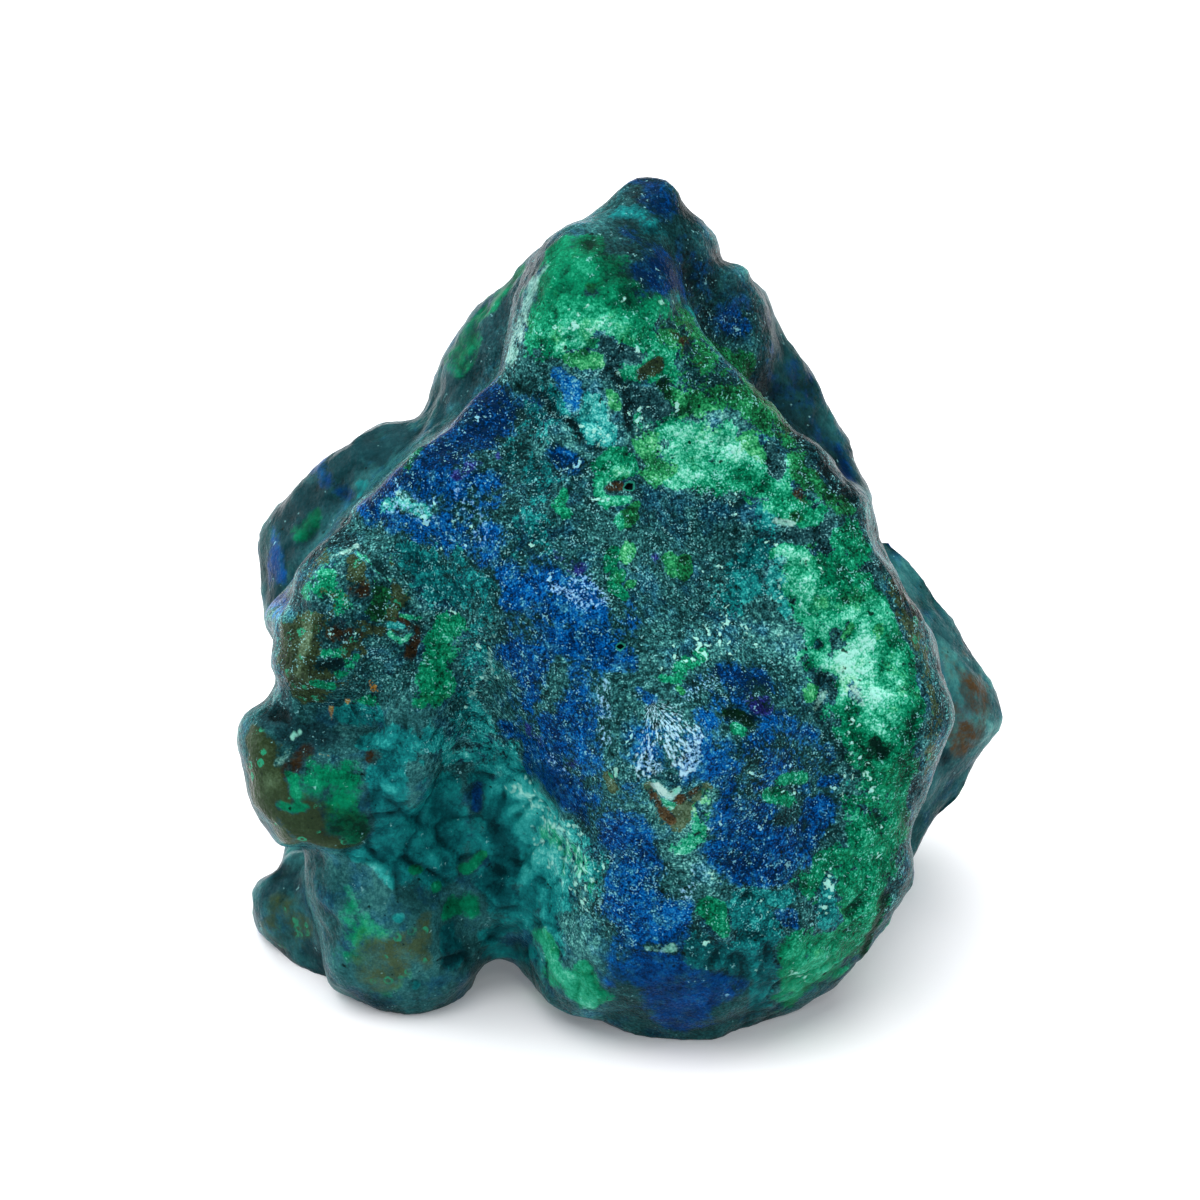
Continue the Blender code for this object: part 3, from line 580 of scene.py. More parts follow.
# %% Patches of the left rim, the knobs and the valley
PATCHES += [
    # left of the face: blue along the rim
    ("malachite", 0.24, 0.6, [(-7.4, 7.9, 0.35), (-8.8, 6.8, 0.42), (-9.3, 6.2, 0.3)]),
    ("azurite", 0.10, 0.75, [(-5.2, 9.7, 0.5), (-6.6, 8.9, 0.7), (-5.0, 8.4, 0.7)]),
    ("azurite", 0.14, 0.85, [(-4.8, 7.7, 0.6), (-6.8, 7.4, 0.7), (-7.8, 6.4, 0.7)]),
    ("azurite", 0.08, 0.9, [(-9.8, 5.5, 0.5), (-10.9, 4.7, 0.45)]),
    ("azurite", 0.42, 1.0, [(-8.0, 5.6, 0.35), (-7.2, 5.2, 0.45), (-6.9, 4.7, 0.3)]),
    # pale blue-green crystal with a painted highlight on it
    ("chrysocolla", 0.86, 0.6, [(-10.4, 4.2, 0.3), (-9.4, 4.4, 0.45), (-8.4, 4.1, 0.4)]),
    ("azurite", 0.46, 0.52, [(-8.8, 3.2, 0.6), (-7.2, 2.8, 0.8), (-6.0, 2.4, 0.7)]),
    ("azurite", 0.50, 1.0, [(-5.6, 3.1, 0.45), (-5.1, 2.6, 0.5)]),
    ("azurite", 0.30, 0.45, [(-6.2, 6.0, 0.9), (-5.2, 5.2, 0.9)]),
    ("violet", 0.50, 0.45, [(-6.8, 6.0, 0.35), (-5.6, 6.9, 0.38), (-4.6, 7.1, 0.25)]),
    ("chrysocolla", 0.30, 0.45, [(-9.6, 2.6, 0.8), (-7.6, 1.0, 1.0), (-6.0, 0.4, 0.8)]),
    # knob beside the face, top half
    ("limonite", 0.54, 1.0, [(-13.2, 1.2, 0.9), (-12.0, 0.4, 1.4), (-10.6, 0.6, 1.0)]),
    ("limonite", 0.38, 1.0, [(-14.6, -1.2, 0.9), (-13.2, -2.0, 1.5), (-11.6, -2.0, 1.3),
                             (-13.8, -4.0, 1.0)]),
    ("basalt", 0.55, 0.8, [(-14.6, 0.4, 0.5), (-13.6, -0.3, 0.4)]),
    ("malachite", 0.52, 0.66, [(-13.7, 0.4, 0.5), (-13.2, 1.1, 0.6), (-12.6, 1.8, 0.4)]),
    ("malachite", 0.42, 0.60, [(-12.9, 0.2, 0.6), (-12.4, -0.5, 0.7), (-11.6, -0.4, 0.8),
                               (-12.8, -2.0, 0.7)]),
    ("basalt", 0.70, 0.9, [(-12.3, 1.6, 0.32)]),
    ("umber", 0.10, 0.50, [(-12.0, 0.8, 0.5), (-11.0, 0.5, 0.6)]),
    ("umber", 0.08, 0.48, [(-13.3, -1.5, 0.6), (-12.0, -1.6, 0.8), (-11.4, -2.2, 0.6)]),
    ("grass", 0.12, 0.7, [(-10.5, 1.6, 0.4), (-10.2, 0.4, 0.5), (-10.6, -1.0, 0.5)]),
    ("chalk", 0.55, 0.6, [(-12.7, 2.15, 0.14), (-12.1, 2.5, 0.18), (-11.5, 2.9, 0.16)]),
    ("malachite", 0.74, 0.6, [(-11.6, 2.5, 0.14), (-10.8, 2.0, 0.14), (-10.2, 1.5, 0.14),
                              (-9.7, 1.1, 0.14)]),
    # painted highlight: a pale streak down the knob's left side
    ("limonite", 0.85, 0.9, [(-14.0, -0.8, 0.16), (-14.2, -2.2, 0.24), (-14.4, -3.6, 0.18)]),
    ("malachite", 0.50, 0.60, [(-13.4, -2.7, 0.24), (-12.8, -2.6, 0.3), (-12.2, -2.9, 0.24)]),
    ("malachite", 0.44, 0.66, [(-12.3, -3.8, 0.4), (-11.7, -3.4, 0.34), (-11.4, -3.0, 0.3)]),
    ("basalt", 0.16, 0.62, [(-13.2, -3.4, 0.5), (-12.5, -3.35, 0.5)]),
    ("malachite", 0.36, 0.9, [(-13.8, -4.0, 0.16), (-13.2, -4.3, 0.2), (-12.6, -4.4, 0.2)]),
    ("umber", 0.34, 0.62, [(-9.2, -0.9, 0.3), (-8.7, -1.8, 0.5), (-9.2, -2.8, 0.4)]),
    ("chrysocolla", 0.80, 0.9, [(-9.8, -1.4, 0.22), (-9.3, -1.5, 0.2)]),
    ("malachite", 0.66, 0.9, [(-10.0, -1.9, 0.13), (-9.4, -2.2, 0.2), (-8.9, -1.9, 0.15)]),
    ("malachite", 0.56, 0.9, [(-9.2, -0.7, 0.14), (-8.6, -1.1, 0.16), (-8.3, -1.0, 0.12)]),
    ("slate", 0.46, 0.9, [(-10.4, -2.6, 0.45), (-9.9, -3.8, 0.6), (-9.4, -5.2, 0.8)]),
    ("chrysocolla", 0.44, 1.0, [(-12.4, -5.4, 0.5), (-11.4, -5.4, 0.6), (-10.7, -5.2, 0.45)]),
    ("chrysocolla", 0.40, 1.0, [(-11.3, -6.6, 0.35), (-10.4, -6.8, 0.35)]),
    ("ochre", 0.50, 0.62, [(-10.8, -4.1, 0.22), (-10.5, -4.6, 0.2)]),
    ("ochre", 0.60, 0.60, [(-11.8, -5.0, 0.17)]),
    ("ochre", 0.60, 0.58, [(-12.5, -5.3, 0.16), (-12.45, -5.8, 0.18), (-12.0, -5.8, 0.16)]),
    ("malachite", 0.42, 1.0, [(-7.0, -1.6, 0.6), (-7.4, -3.0, 0.85), (-8.2, -4.6, 0.6)]),
    # pale blue-green line down the edge, with a painted edge highlight (the chalk) along it
    ("chrysocolla", 0.62, 0.5, [(-5.2, -1.9, 0.4), (-5.5, -3.4, 0.3), (-5.9, -4.8, 0.3)]),
    ("chalk", 0.26, 0.35, [(-5.2, -1.9, 0.26), (-5.5, -3.4, 0.26), (-5.9, -4.8, 0.3)]),
    # second knob
    ("basalt", 0.36, 1.0, [(-15.4, -5.4, 0.9), (-14.2, -6.2, 1.2)]),
    ("limonite", 0.46, 1.0, [(-16.6, -6.8, 0.6), (-16.0, -8.8, 0.9), (-14.6, -10.6, 1.0),
                             (-13.0, -10.8, 0.8)]),
    ("umber", 0.36, 0.6, [(-14.8, -7.9, 0.6), (-14.2, -7.5, 0.5)]),
    # painted highlight on the second knob: a pale spot and a pale streak
    ("limonite", 0.75, 0.9, [(-15.6, -8.5, 0.34)]),
    ("chalk", 0.40, 0.44, [(-15.5, -7.9, 0.2), (-15.2, -7.4, 0.26), (-14.8, -7.0, 0.2)]),
    ("chalk", 0.30, 0.9, [(-14.5, -6.3, 0.12), (-14.2, -6.0, 0.12)]),
    ("malachite", 0.42, 0.60, [(-14.0, -7.8, 0.4), (-13.4, -8.6, 0.9), (-12.4, -9.0, 0.9),
                               (-11.5, -8.8, 0.7)]),
    ("malachite", 0.34, 0.60, [(-12.7, -7.7, 0.6), (-11.9, -7.7, 0.5)]),
    ("malachite", 0.46, 1.0, [(-15.0, -8.2, 0.15), (-14.5, -8.6, 0.22), (-14.5, -9.3, 0.22)]),
    ("malachite", 0.44, 1.0, [(-15.2, -9.9, 0.24), (-14.6, -10.0, 0.24), (-14.3, -9.8, 0.2)]),
    ("umber", 0.30, 0.8, [(-10.9, -7.6, 0.4), (-10.5, -7.9, 0.3)]),
    ("malachite", 0.14, 0.9, [(-12.3, -10.4, 0.8), (-11.6, -10.4, 0.6)]),
    ("ochre", 0.85, 0.6, [(-13.3, -7.2, 0.13), (-12.9, -7.1, 0.13)]),
    # hollow valley
    ("chrysocolla", 0.36, 1.0, [(-9.9, -8.2, 0.8), (-9.2, -9.6, 1.3), (-9.4, -11.4, 1.3)]),
    ("slate", 0.62, 0.8, [(-8.6, -8.6, 0.6), (-8.5, -9.8, 0.6)]),
    ("chrysocolla", 0.60, 1.0, [(-10.1, -9.2, 0.22), (-9.8, -9.4, 0.2)]),
    ("chrysocolla", 0.56, 1.0, [(-11.1, -12.2, 0.36), (-10.6, -13.1, 0.36), (-9.9, -13.8, 0.25)]),
    ("chrysocolla", 0.34, 1.0, [(-7.4, -9.4, 0.7), (-7.0, -11.0, 0.9), (-7.2, -13.2, 1.0)]),
    ("chrysocolla", 0.22, 1.0, [(-5.0, -10.2, 0.6), (-4.8, -12.2, 0.7), (-5.2, -14.2, 0.7)]),
    ("azurite", 0.14, 0.8, [(-5.9, -9.0, 0.28), (-6.0, -10.0, 0.3)]),
    ("chrysocolla", 0.56, 0.8, [(-7.4, -6.8, 0.5), (-7.0, -7.6, 0.5), (-6.2, -7.6, 0.4)]),
    ("malachite", 0.38, 1.0, [(-5.8, -12.3, 0.24), (-6.2, -12.9, 0.3)]),
    ("malachite", 0.32, 1.0, [(-6.8, -15.0, 0.45), (-6.1, -14.9, 0.55)]),
    ("malachite", 0.44, 1.0, [(-7.6, -13.8, 0.28)]),
    ("malachite", 0.36, 1.0, [(-8.4, -12.9, 0.28)]),
    ("chrysocolla", 0.60, 1.0, [(-4.4, -9.2, 0.6), (-3.2, -10.4, 1.1), (-2.2, -11.8, 1.5),
                                (-1.2, -13.0, 1.0)]),
    ("malachite", 0.66, 0.5, [(-2.6, -11.0, 0.6), (-1.6, -12.4, 0.9), (-1.0, -13.6, 0.5)]),
    ("chrysocolla", 0.34, 1.0, [(-3.2, -13.4, 0.4), (-3.7, -14.1, 0.45), (-4.3, -15.1, 0.45),
                                (-5.0, -15.9, 0.45)]),
    ("chrysocolla", 0.36, 1.0, [(-4.6, -16.8, 0.7), (-3.8, -16.8, 0.4)]),
    ("slate", 0.62, 0.9, [(-1.4, -14.8, 0.8), (-1.0, -16.4, 0.9)]),
    ("malachite", 0.60, 1.0, [(-3.1, -15.8, 0.45), (-2.5, -16.8, 0.5), (-2.1, -18.0, 0.65),
                              (-1.0, -18.8, 0.65)]),
    ("malachite", 0.50, 0.8, [(-0.8, -17.9, 0.5), (0.0, -18.8, 0.5)]),
    # third and fourth knobs
    ("basalt", 0.48, 1.0, [(-15.4, -14.0, 1.5), (-14.4, -15.6, 1.5), (-13.0, -17.0, 1.2)]),
    ("limonite", 0.84, 0.60, [(-11.4, -14.8, 1.1), (-10.8, -16.4, 1.3), (-9.6, -17.6, 1.2)]),
    ("malachite", 0.50, 0.56, [(-11.6, -14.6, 1.2), (-11.0, -16.4, 1.5), (-9.8, -17.6, 1.4)]),
    ("slate", 0.60, 0.8, [(-12.8, -12.2, 0.7), (-11.6, -13.2, 0.7), (-10.2, -14.6, 0.7)]),
    ("limonite", 0.60, 0.62, [(-8.1, -15.6, 0.5), (-8.1, -16.8, 0.7), (-7.8, -17.6, 0.5)]),
    ("limonite", 0.66, 0.5, [(-10.4, -17.6, 1.0), (-8.9, -17.0, 0.8)]),
    ("limonite", 0.60, 0.55, [(-15.4, -14.4, 1.0), (-14.0, -16.2, 1.0)]),
    ("chrysocolla", 0.50, 0.9, [(-9.4, -15.1, 0.32)]),
    ("chrysocolla", 0.32, 0.9, [(-8.6, -18.5, 0.3)]),
    ("chrysocolla", 0.16, 1.0, [(-6.7, -15.9, 0.4), (-6.5, -17.2, 0.6)]),
]
print("patches so far:", len(PATCHES))

# %% [markdown]
# The middle is slate with small islands of green, and the right side is one long body of
# malachite, palest half way down, where pale mint malachite carries a painted highlight.

# %% Patches of the middle and the right of the face
PATCHES += [
    # middle of the face
    ("slate", 0.34, 0.8, [(3.4, 4.6, 1.2), (4.6, 3.6, 1.4), (3.6, 2.4, 1.0)]),
    ("azurite", 0.10, 0.75, [(-1.9, 6.9, 0.5), (-1.1, 6.6, 0.5)]),
    ("malachite", 0.36, 1.0, [(-1.4, 5.4, 0.38), (-1.6, 4.9, 0.5), (-1.4, 4.3, 0.36)]),
    ("malachite", 0.34, 1.0, [(0.2, 6.5, 0.4), (1.0, 6.9, 0.5), (1.7, 7.2, 0.35)]),
    ("malachite", 0.52, 1.0, [(0.1, 5.9, 0.35), (1.1, 6.2, 0.4), (1.7, 6.1, 0.4)]),
    ("malachite", 0.60, 0.9, [(0.2, 5.2, 0.24), (0.6, 4.7, 0.26), (1.4, 4.8, 0.3)]),
    ("grass", 0.36, 0.95, [(1.9, 4.6, 0.22), (1.6, 3.9, 0.42)]),
    ("malachite", 0.56, 0.9, [(1.1, 3.7, 0.3)]),
    ("grass", 0.62, 0.9, [(2.5, 7.3, 0.6), (3.2, 6.7, 1.0), (2.7, 5.7, 0.7)]),
    ("malachite", 0.76, 1.0, [(4.2, 7.5, 0.9), (5.6, 7.1, 1.1), (6.8, 6.6, 1.0)]),
    ("malachite", 0.70, 1.0, [(4.6, 6.1, 0.5), (3.8, 5.7, 0.4)]),
    ("malachite", 0.44, 1.0, [(6.5, 5.6, 0.6), (7.2, 5.6, 0.65)]),
    ("grass", 0.50, 0.8, [(7.2, 7.6, 0.5), (7.6, 6.7, 0.4)]),
    ("umber", 0.75, 0.7, [(0.55, 5.45, 0.26), (0.8, 5.45, 0.26)]),
    ("malachite", 0.26, 1.0, [(0.9, 2.6, 0.28), (0.7, 1.9, 0.34)]),
    ("grass", 0.62, 1.0, [(1.5, 2.6, 0.34), (1.4, 2.2, 0.28)]),
    ("malachite", 0.38, 1.0, [(1.1, 1.3, 0.28), (1.0, 0.8, 0.32), (1.3, 0.4, 0.24)]),
    ("grass", 0.46, 0.9, [(1.6, 0.75, 0.26)]),
    ("grass", 0.58, 1.0, [(3.4, 2.2, 0.26), (3.8, 1.7, 0.5)]),
    ("grass", 0.28, 0.9, [(4.3, 1.7, 0.4), (4.4, 1.3, 0.3)]),
    ("violet", 0.45, 0.45, [(2.9, 2.3, 0.3), (2.9, 1.9, 0.3)]),
    ("violet", 0.35, 0.42, [(-0.9, 1.8, 0.36), (-2.0, 2.2, 0.36)]),
    ("azurite", 0.40, 0.95, [(-4.4, 1.2, 0.5), (-3.4, 0.5, 0.6), (-2.5, 0.1, 0.5)]),
    ("azurite", 0.44, 0.9, [(-4.7, -0.2, 0.5), (-4.2, 0.0, 0.4)]),
    ("azurite", 0.46, 1.0, [(-2.4, 1.2, 0.4), (-1.2, 0.9, 0.55), (-0.4, 0.3, 0.6), (0.2, -0.6, 0.4)]),
    ("azurite", 0.46, 0.9, [(-1.4, -0.6, 0.5), (-1.2, -1.6, 0.35)]),
    ("azurite", 0.44, 0.6, [(1.6, -0.6, 0.5)]),
    # right of the face
    ("chrysocolla", 0.44, 0.7, [(7.2, 4.2, 0.5), (8.0, 4.4, 0.45)]),
    ("chrysocolla", 0.40, 0.7, [(7.0, 2.6, 0.6), (7.4, 1.2, 0.6), (6.9, 0.4, 0.5)]),
    ("malachite", 0.48, 1.0, [(8.5, 5.3, 0.45), (9.2, 4.9, 0.5), (9.6, 4.4, 0.35)]),
    ("grass", 0.14, 0.8, [(9.1, 4.3, 0.25)]),
    ("chalk", 0.34, 0.55, [(8.3, 4.1, 0.22), (8.9, 3.85, 0.24)]),
    ("basalt", 0.50, 1.0, [(8.2, 7.2, 0.35), (8.4, 6.2, 0.45)]),
    ("grass", 0.34, 0.8, [(8.8, 7.6, 0.3), (9.3, 6.5, 0.4), (10.4, 5.4, 0.6), (11.4, 4.4, 0.6)]),
    ("umber", 0.50, 0.5, [(9.4, 5.5, 0.34), (10.2, 4.8, 0.36), (10.7, 4.2, 0.3)]),
    ("malachite", 0.48, 0.55, [(10.0, 5.2, 0.4), (10.6, 4.5, 0.4)]),
    ("basalt", 0.60, 0.95, [(8.8, 3.3, 0.4), (9.8, 3.3, 0.4), (11.0, 3.6, 0.5)]),
    ("basalt", 0.42, 0.95, [(10.8, 3.0, 0.4), (11.0, 2.6, 0.35)]),
    ("malachite", 0.30, 0.9, [(11.8, 3.4, 0.7), (12.6, 2.2, 0.8), (13.0, 0.8, 0.7)]),
    ("malachite", 0.35, 1.0, [(10.8, 1.5, 0.6), (11.8, 0.7, 0.9), (12.8, -0.4, 0.9), (13.6, -1.4, 0.8)]),
    ("grass", 0.30, 0.8, [(9.8, 2.6, 0.35), (9.9, 1.3, 0.25)]),
    ("malachite", 0.64, 1.0, [(8.6, 2.1, 0.5), (9.5, 1.7, 0.5), (9.5, 0.7, 0.5)]),
    ("chrysocolla", 0.62, 0.9, [(8.5, 1.0, 0.5), (8.6, -0.2, 0.5)]),
    ("malachite", 0.62, 1.0, [(9.6, 0.4, 0.8), (10.4, -0.6, 1.1), (11.2, -1.6, 1.3), (12.0, -2.6, 1.3)]),
    ("malachite", 0.66, 1.0, [(10.4, -2.2, 0.5), (11.2, -2.8, 0.6)]),
    ("grass", 0.34, 0.6, [(11.0, -1.8, 0.24), (11.4, -2.7, 0.24), (11.9, -1.5, 0.2)]),
    ("grass", 0.30, 0.6, [(13.1, -1.6, 0.34), (12.9, -2.7, 0.22)]),
    ("malachite", 0.34, 1.0, [(13.9, -1.8, 0.5), (14.4, -3.0, 0.6)]),
    ("malachite", 0.42, 1.0, [(14.1, -3.6, 0.7), (14.4, -4.8, 0.8)]),
    # pale mint malachite with a painted highlight on it (this stroke and the chalk below)
    ("malachite", 0.88, 1.0, [(12.2, -3.0, 0.8), (12.7, -4.0, 0.9), (13.1, -4.8, 0.7)]),
    ("chalk", 0.50, 0.50, [(12.3, -3.9, 0.36), (12.2, -4.6, 0.4), (12.4, -5.2, 0.3)]),
    ("basalt", 0.50, 0.7, [(10.6, -3.75, 0.24), (11.2, -4.0, 0.42), (11.4, -4.5, 0.35)]),
    ("grass", 0.60, 1.0, [(10.1, -4.1, 0.36), (10.3, -4.4, 0.3)]),
    ("chalk", 0.40, 0.55, [(10.75, -4.5, 0.24), (10.55, -5.2, 0.16)]),
    ("chrysocolla", 0.20, 0.8, [(10.0, -2.1, 0.3)]),
    ("malachite", 0.24, 0.8, [(11.9, -5.4, 0.4), (12.4, -6.6, 0.5), (12.4, -8.0, 0.6)]),
    ("malachite", 0.58, 1.0, [(13.2, -5.8, 0.55), (14.0, -6.0, 0.6), (14.1, -6.6, 0.4)]),
    ("malachite", 0.38, 1.0, [(14.1, -7.4, 0.5), (13.8, -8.6, 0.9), (13.4, -9.8, 0.8)]),
    ("malachite", 0.26, 1.0, [(12.2, -9.8, 0.5)]),
    ("chrysocolla", 0.46, 0.42, [(12.4, -8.8, 1.0), (12.8, -10.4, 1.0)]),
    ("malachite", 0.14, 0.8, [(13.4, -6.8, 0.3), (13.7, -7.2, 0.35), (13.2, -7.4, 0.3)]),
    ("malachite", 0.42, 1.0, [(12.6, -10.8, 0.6), (13.0, -11.8, 0.9), (13.0, -13.2, 0.9)]),
    ("malachite", 0.38, 0.9, [(11.4, -12.4, 0.5), (10.4, -13.2, 0.65), (9.6, -13.8, 0.5)]),
    # the slab down the right edge, and the spur behind
    ("basalt", 0.44, 1.0, [(13.6, 1.6, 0.7), (14.1, -0.2, 0.5), (15.2, -2.2, 0.6), (15.9, -4.4, 0.6),
                           (15.8, -6.6, 0.7), (15.4, -9.0, 0.7)]),
    ("malachite", 0.06, 1.0, [(14.4, 1.4, 0.7), (15.2, 0.2, 0.7)]),
    ("basalt", 0.10, 0.8, [(14.2, 1.8, 0.6), (15.3, 0.1, 0.7)]),
    ("chrysocolla", 0.04, 1.0, [(15.2, -0.9, 0.5)]),
    ("basalt", 0.64, 1.0, [(17.0, -1.6, 1.2), (18.0, -4.6, 1.6), (17.2, -7.4, 1.6)]),
    ("umber", 0.72, 0.50, [(16.8, -2.6, 1.0), (17.9, -4.8, 1.2), (17.0, -7.4, 1.2)]),
    ("basalt", 0.20, 1.0, [(15.9, -6.2, 0.35), (16.4, -3.2, 0.3), (16.7, -7.6, 0.3)]),
    ("limonite", 0.16, 0.5, [(15.0, 0.6, 0.6), (15.5, -0.6, 0.6)]),
    ("malachite", 0.14, 0.8, [(15.2, -5.6, 0.5), (14.9, -8.0, 0.5)]),
    ("limonite", 0.56, 0.52, [(14.0, 0.6, 0.6), (15.2, -2.2, 0.6), (15.9, -4.4, 0.6), (15.6, -8.0, 0.7)]),
]
print("patches so far:", len(PATCHES))

# %% [markdown]
# The lower face is azurite.  A crescent of brown and white, where a crystal fell out, sits
# in its middle under long fibres that spread from one place, with a painted highlight along them.

# %% Patches of the lower face
PATCHES += [
    # lower left of the face
    ("azurite", 0.36, 0.55, [(-2.6, -3.2, 1.6), (-1.6, -5.2, 1.8), (-2.2, -7.0, 1.2)]),
    ("azurite", 0.40, 0.95, [(-4.2, -2.4, 0.6), (-4.0, -3.6, 0.6), (-3.7, -5.0, 0.5)]),
    ("azurite", 0.36, 0.9, [(-2.5, -2.0, 0.5), (-1.2, -2.3, 0.6), (0.4, -2.4, 0.5), (1.4, -3.0, 0.4)]),
    ("slate", 0.45, 0.7, [(-2.2, -3.1, 0.6), (-2.6, -5.2, 0.5)]),
    ("azurite", 0.30, 1.0, [(-4.5, -6.3, 0.5), (-3.4, -6.8, 0.7), (-2.2, -6.6, 0.5)]),
    ("violet", 0.40, 0.50, [(-3.8, -6.3, 0.36), (-3.3, -6.6, 0.4)]),
    ("azurite", 0.22, 1.0, [(-3.6, -7.9, 0.7), (-2.4, -8.6, 0.7), (-1.2, -9.8, 0.5)]),
    ("violet", 0.30, 0.5, [(-1.7, -7.9, 0.5)]),
    ("azurite", 0.40, 1.0, [(1.8, -4.3, 0.3), (2.2, -4.7, 0.32)]),
    ("slate", 0.50, 0.6, [(0.6, -5.4, 1.1), (1.4, -6.6, 1.0), (0.8, -8.2, 0.7)]),
    ("azurite", 0.55, 0.46, [(2.2, -7.4, 0.9), (3.4, -6.4, 0.9), (4.5, -7.4, 0.8)]),
    ("azurite", 0.36, 0.9, [(0.5, -11.3, 0.6), (1.8, -12.0, 0.9), (2.2, -13.4, 0.8)]),
    ("limonite", 0.72, 1.0, [(0.05, -8.5, 0.26), (0.15, -9.1, 0.36)]),
    ("chalk", 0.35, 1.0, [(0.5, -8.1, 0.14), (0.55, -8.5, 0.12)]),
    # the right-hand fibres and greens of the lower face
    ("malachite", 0.48, 0.7, [(4.9, -2.3, 0.4), (4.2, -3.3, 0.5), (3.2, -3.6, 0.35)]),
    ("grass", 0.48, 0.9, [(3.9, -4.0, 0.28)]),
    ("azurite", 0.50, 0.7, [(4.9, -5.2, 0.35), (5.6, -5.8, 0.4)]),
    ("azurite", 0.08, 0.85, [(5.8, -3.2, 0.6), (6.8, -3.8, 0.9), (7.8, -4.0, 0.7)]),
    ("slate", 0.20, 0.5, [(8.6, -3.2, 0.5), (9.2, -4.6, 0.8), (8.4, -5.2, 0.8)]),
    ("violet", 0.25, 0.56, [(7.5, -4.4, 0.5), (8.2, -5.1, 0.5)]),
    ("azurite", 0.34, 0.6, [(8.4, -6.2, 0.5), (9.4, -5.9, 0.5), (10.2, -6.2, 0.4)]),
    ("slate", 0.30, 0.6, [(7.4, -6.6, 0.8), (8.8, -7.2, 0.8)]),
    ("azurite", 0.20, 0.6, [(7.6, -6.8, 0.7), (8.8, -7.3, 0.7)]),
    ("azurite", 0.48, 0.8, [(5.4, -7.1, 0.4), (5.6, -8.1, 0.35)]),
    ("azurite", 0.28, 0.75, [(6.2, -9.2, 0.8), (6.9, -10.3, 0.7), (7.8, -10.1, 0.5)]),
    ("azurite", 0.30, 1.0, [(7.4, -11.6, 0.9), (8.8, -11.8, 0.9), (10.2, -11.2, 0.9), (11.0, -10.0, 0.7)]),
    ("azurite", 0.28, 1.0, [(6.2, -12.6, 0.9), (7.6, -13.1, 0.9), (9.2, -12.8, 0.7)]),
    ("azurite", 0.42, 0.95, [(10.7, -8.7, 0.3), (11.3, -8.7, 0.34)]),
    ("azurite", 0.30, 0.5, [(10.6, -7.2, 0.6)]),
    ("basalt", 0.35, 0.7, [(8.5, -10.5, 0.4), (9.4, -10.4, 0.4)]),
    ("grass", 0.16, 0.85, [(6.3, -5.25, 0.22), (6.9, -5.3, 0.26), (7.3, -5.6, 0.2)]),
    ("malachite", 0.42, 1.0, [(6.6, -5.9, 0.24), (6.9, -6.0, 0.2)]),
    ("malachite", 0.54, 1.0, [(9.0, -8.6, 0.34), (9.7, -8.4, 0.3)]),
    ("malachite", 0.44, 1.0, [(8.3, -9.3, 0.32), (9.2, -9.6, 0.38)]),
    ("limonite", 0.84, 1.0, [(2.2, -9.3, 0.34), (2.6, -10.1, 0.46), (3.4, -10.6, 0.50),
                             (4.3, -10.3, 0.50), (5.0, -9.5, 0.40)]),
    ("umber", 0.80, 0.8, [(2.25, -9.6, 0.2), (2.75, -10.35, 0.22), (3.4, -10.7, 0.2)]),
    ("umber", 0.60, 0.7, [(3.5, -9.9, 0.26), (4.2, -9.8, 0.28), (4.7, -9.3, 0.22)]),
    ("chalk", 0.95, 0.9, [(2.5, -9.1, 0.18), (2.9, -9.3, 0.34), (3.3, -9.6, 0.26)]),
    ("chalk", 0.30, 1.0, [(3.6, -9.45, 0.15), (3.95, -9.2, 0.17)]),
    ("malachite", 0.66, 0.9, [(2.9, -9.85, 0.2), (3.2, -10.1, 0.18)]),
    ("grass", 0.66, 0.6, [(4.5, -10.4, 0.3), (5.1, -10.1, 0.36), (5.3, -9.6, 0.3)]),
    ("malachite", 0.58, 0.75, [(4.6, -11.2, 0.5), (3.6, -11.7, 0.44)]),
    ("slate", 0.72, 0.8, [(4.2, -12.6, 0.8), (5.2, -13.2, 0.6)]),
    ("malachite", 0.42, 1.0, [(5.1, -14.8, 0.5), (5.9, -15.2, 0.55), (5.6, -15.6, 0.45)]),
    ("azurite", 0.42, 1.0, [(0.6, -13.4, 0.7), (0.9, -14.8, 0.8), (1.2, -16.2, 0.6)]),
    ("azurite", 0.50, 1.0, [(2.3, -14.6, 0.8), (2.4, -15.8, 0.8), (3.6, -15.2, 0.6)]),
    ("azurite", 0.30, 1.0, [(2.6, -18.2, 1.1), (4.4, -18.2, 1.4), (3.6, -19.6, 1.0)]),
    ("chrysocolla", 0.16, 0.7, [(4.8, -16.8, 0.7), (6.2, -17.2, 0.7)]),
    ("chalk", 0.20, 0.55, [(2.3, -16.8, 0.2), (3.3, -16.8, 0.3)]),
    ("chrysocolla", 0.46, 0.9, [(7.0, -14.7, 0.5), (8.3, -14.6, 0.5), (8.9, -14.4, 0.3)]),
    ("chrysocolla", 0.28, 0.9, [(7.4, -15.8, 0.8), (7.4, -17.6, 0.9), (7.4, -18.8, 0.7)]),
    ("azurite", 0.40, 1.0, [(8.9, -15.4, 0.45)]),
    ("malachite", 0.52, 1.0, [(9.6, -16.4, 0.8), (10.8, -16.4, 0.9), (10.2, -17.8, 1.1), (9.2, -18.8, 0.8)]),
    ("malachite", 0.44, 1.0, [(11.8, -14.8, 0.6), (12.8, -14.6, 0.7), (12.4, -16.0, 0.7)]),
    ("chrysocolla", 0.40, 0.9, [(10.8, -13.9, 0.5), (10.8, -15.2, 0.5)]),
    ("malachite", 0.04, 0.9, [(13.6, -14.4, 0.4), (12.6, -16.8, 0.35)]),
]
print("patches in all:", len(PATCHES))
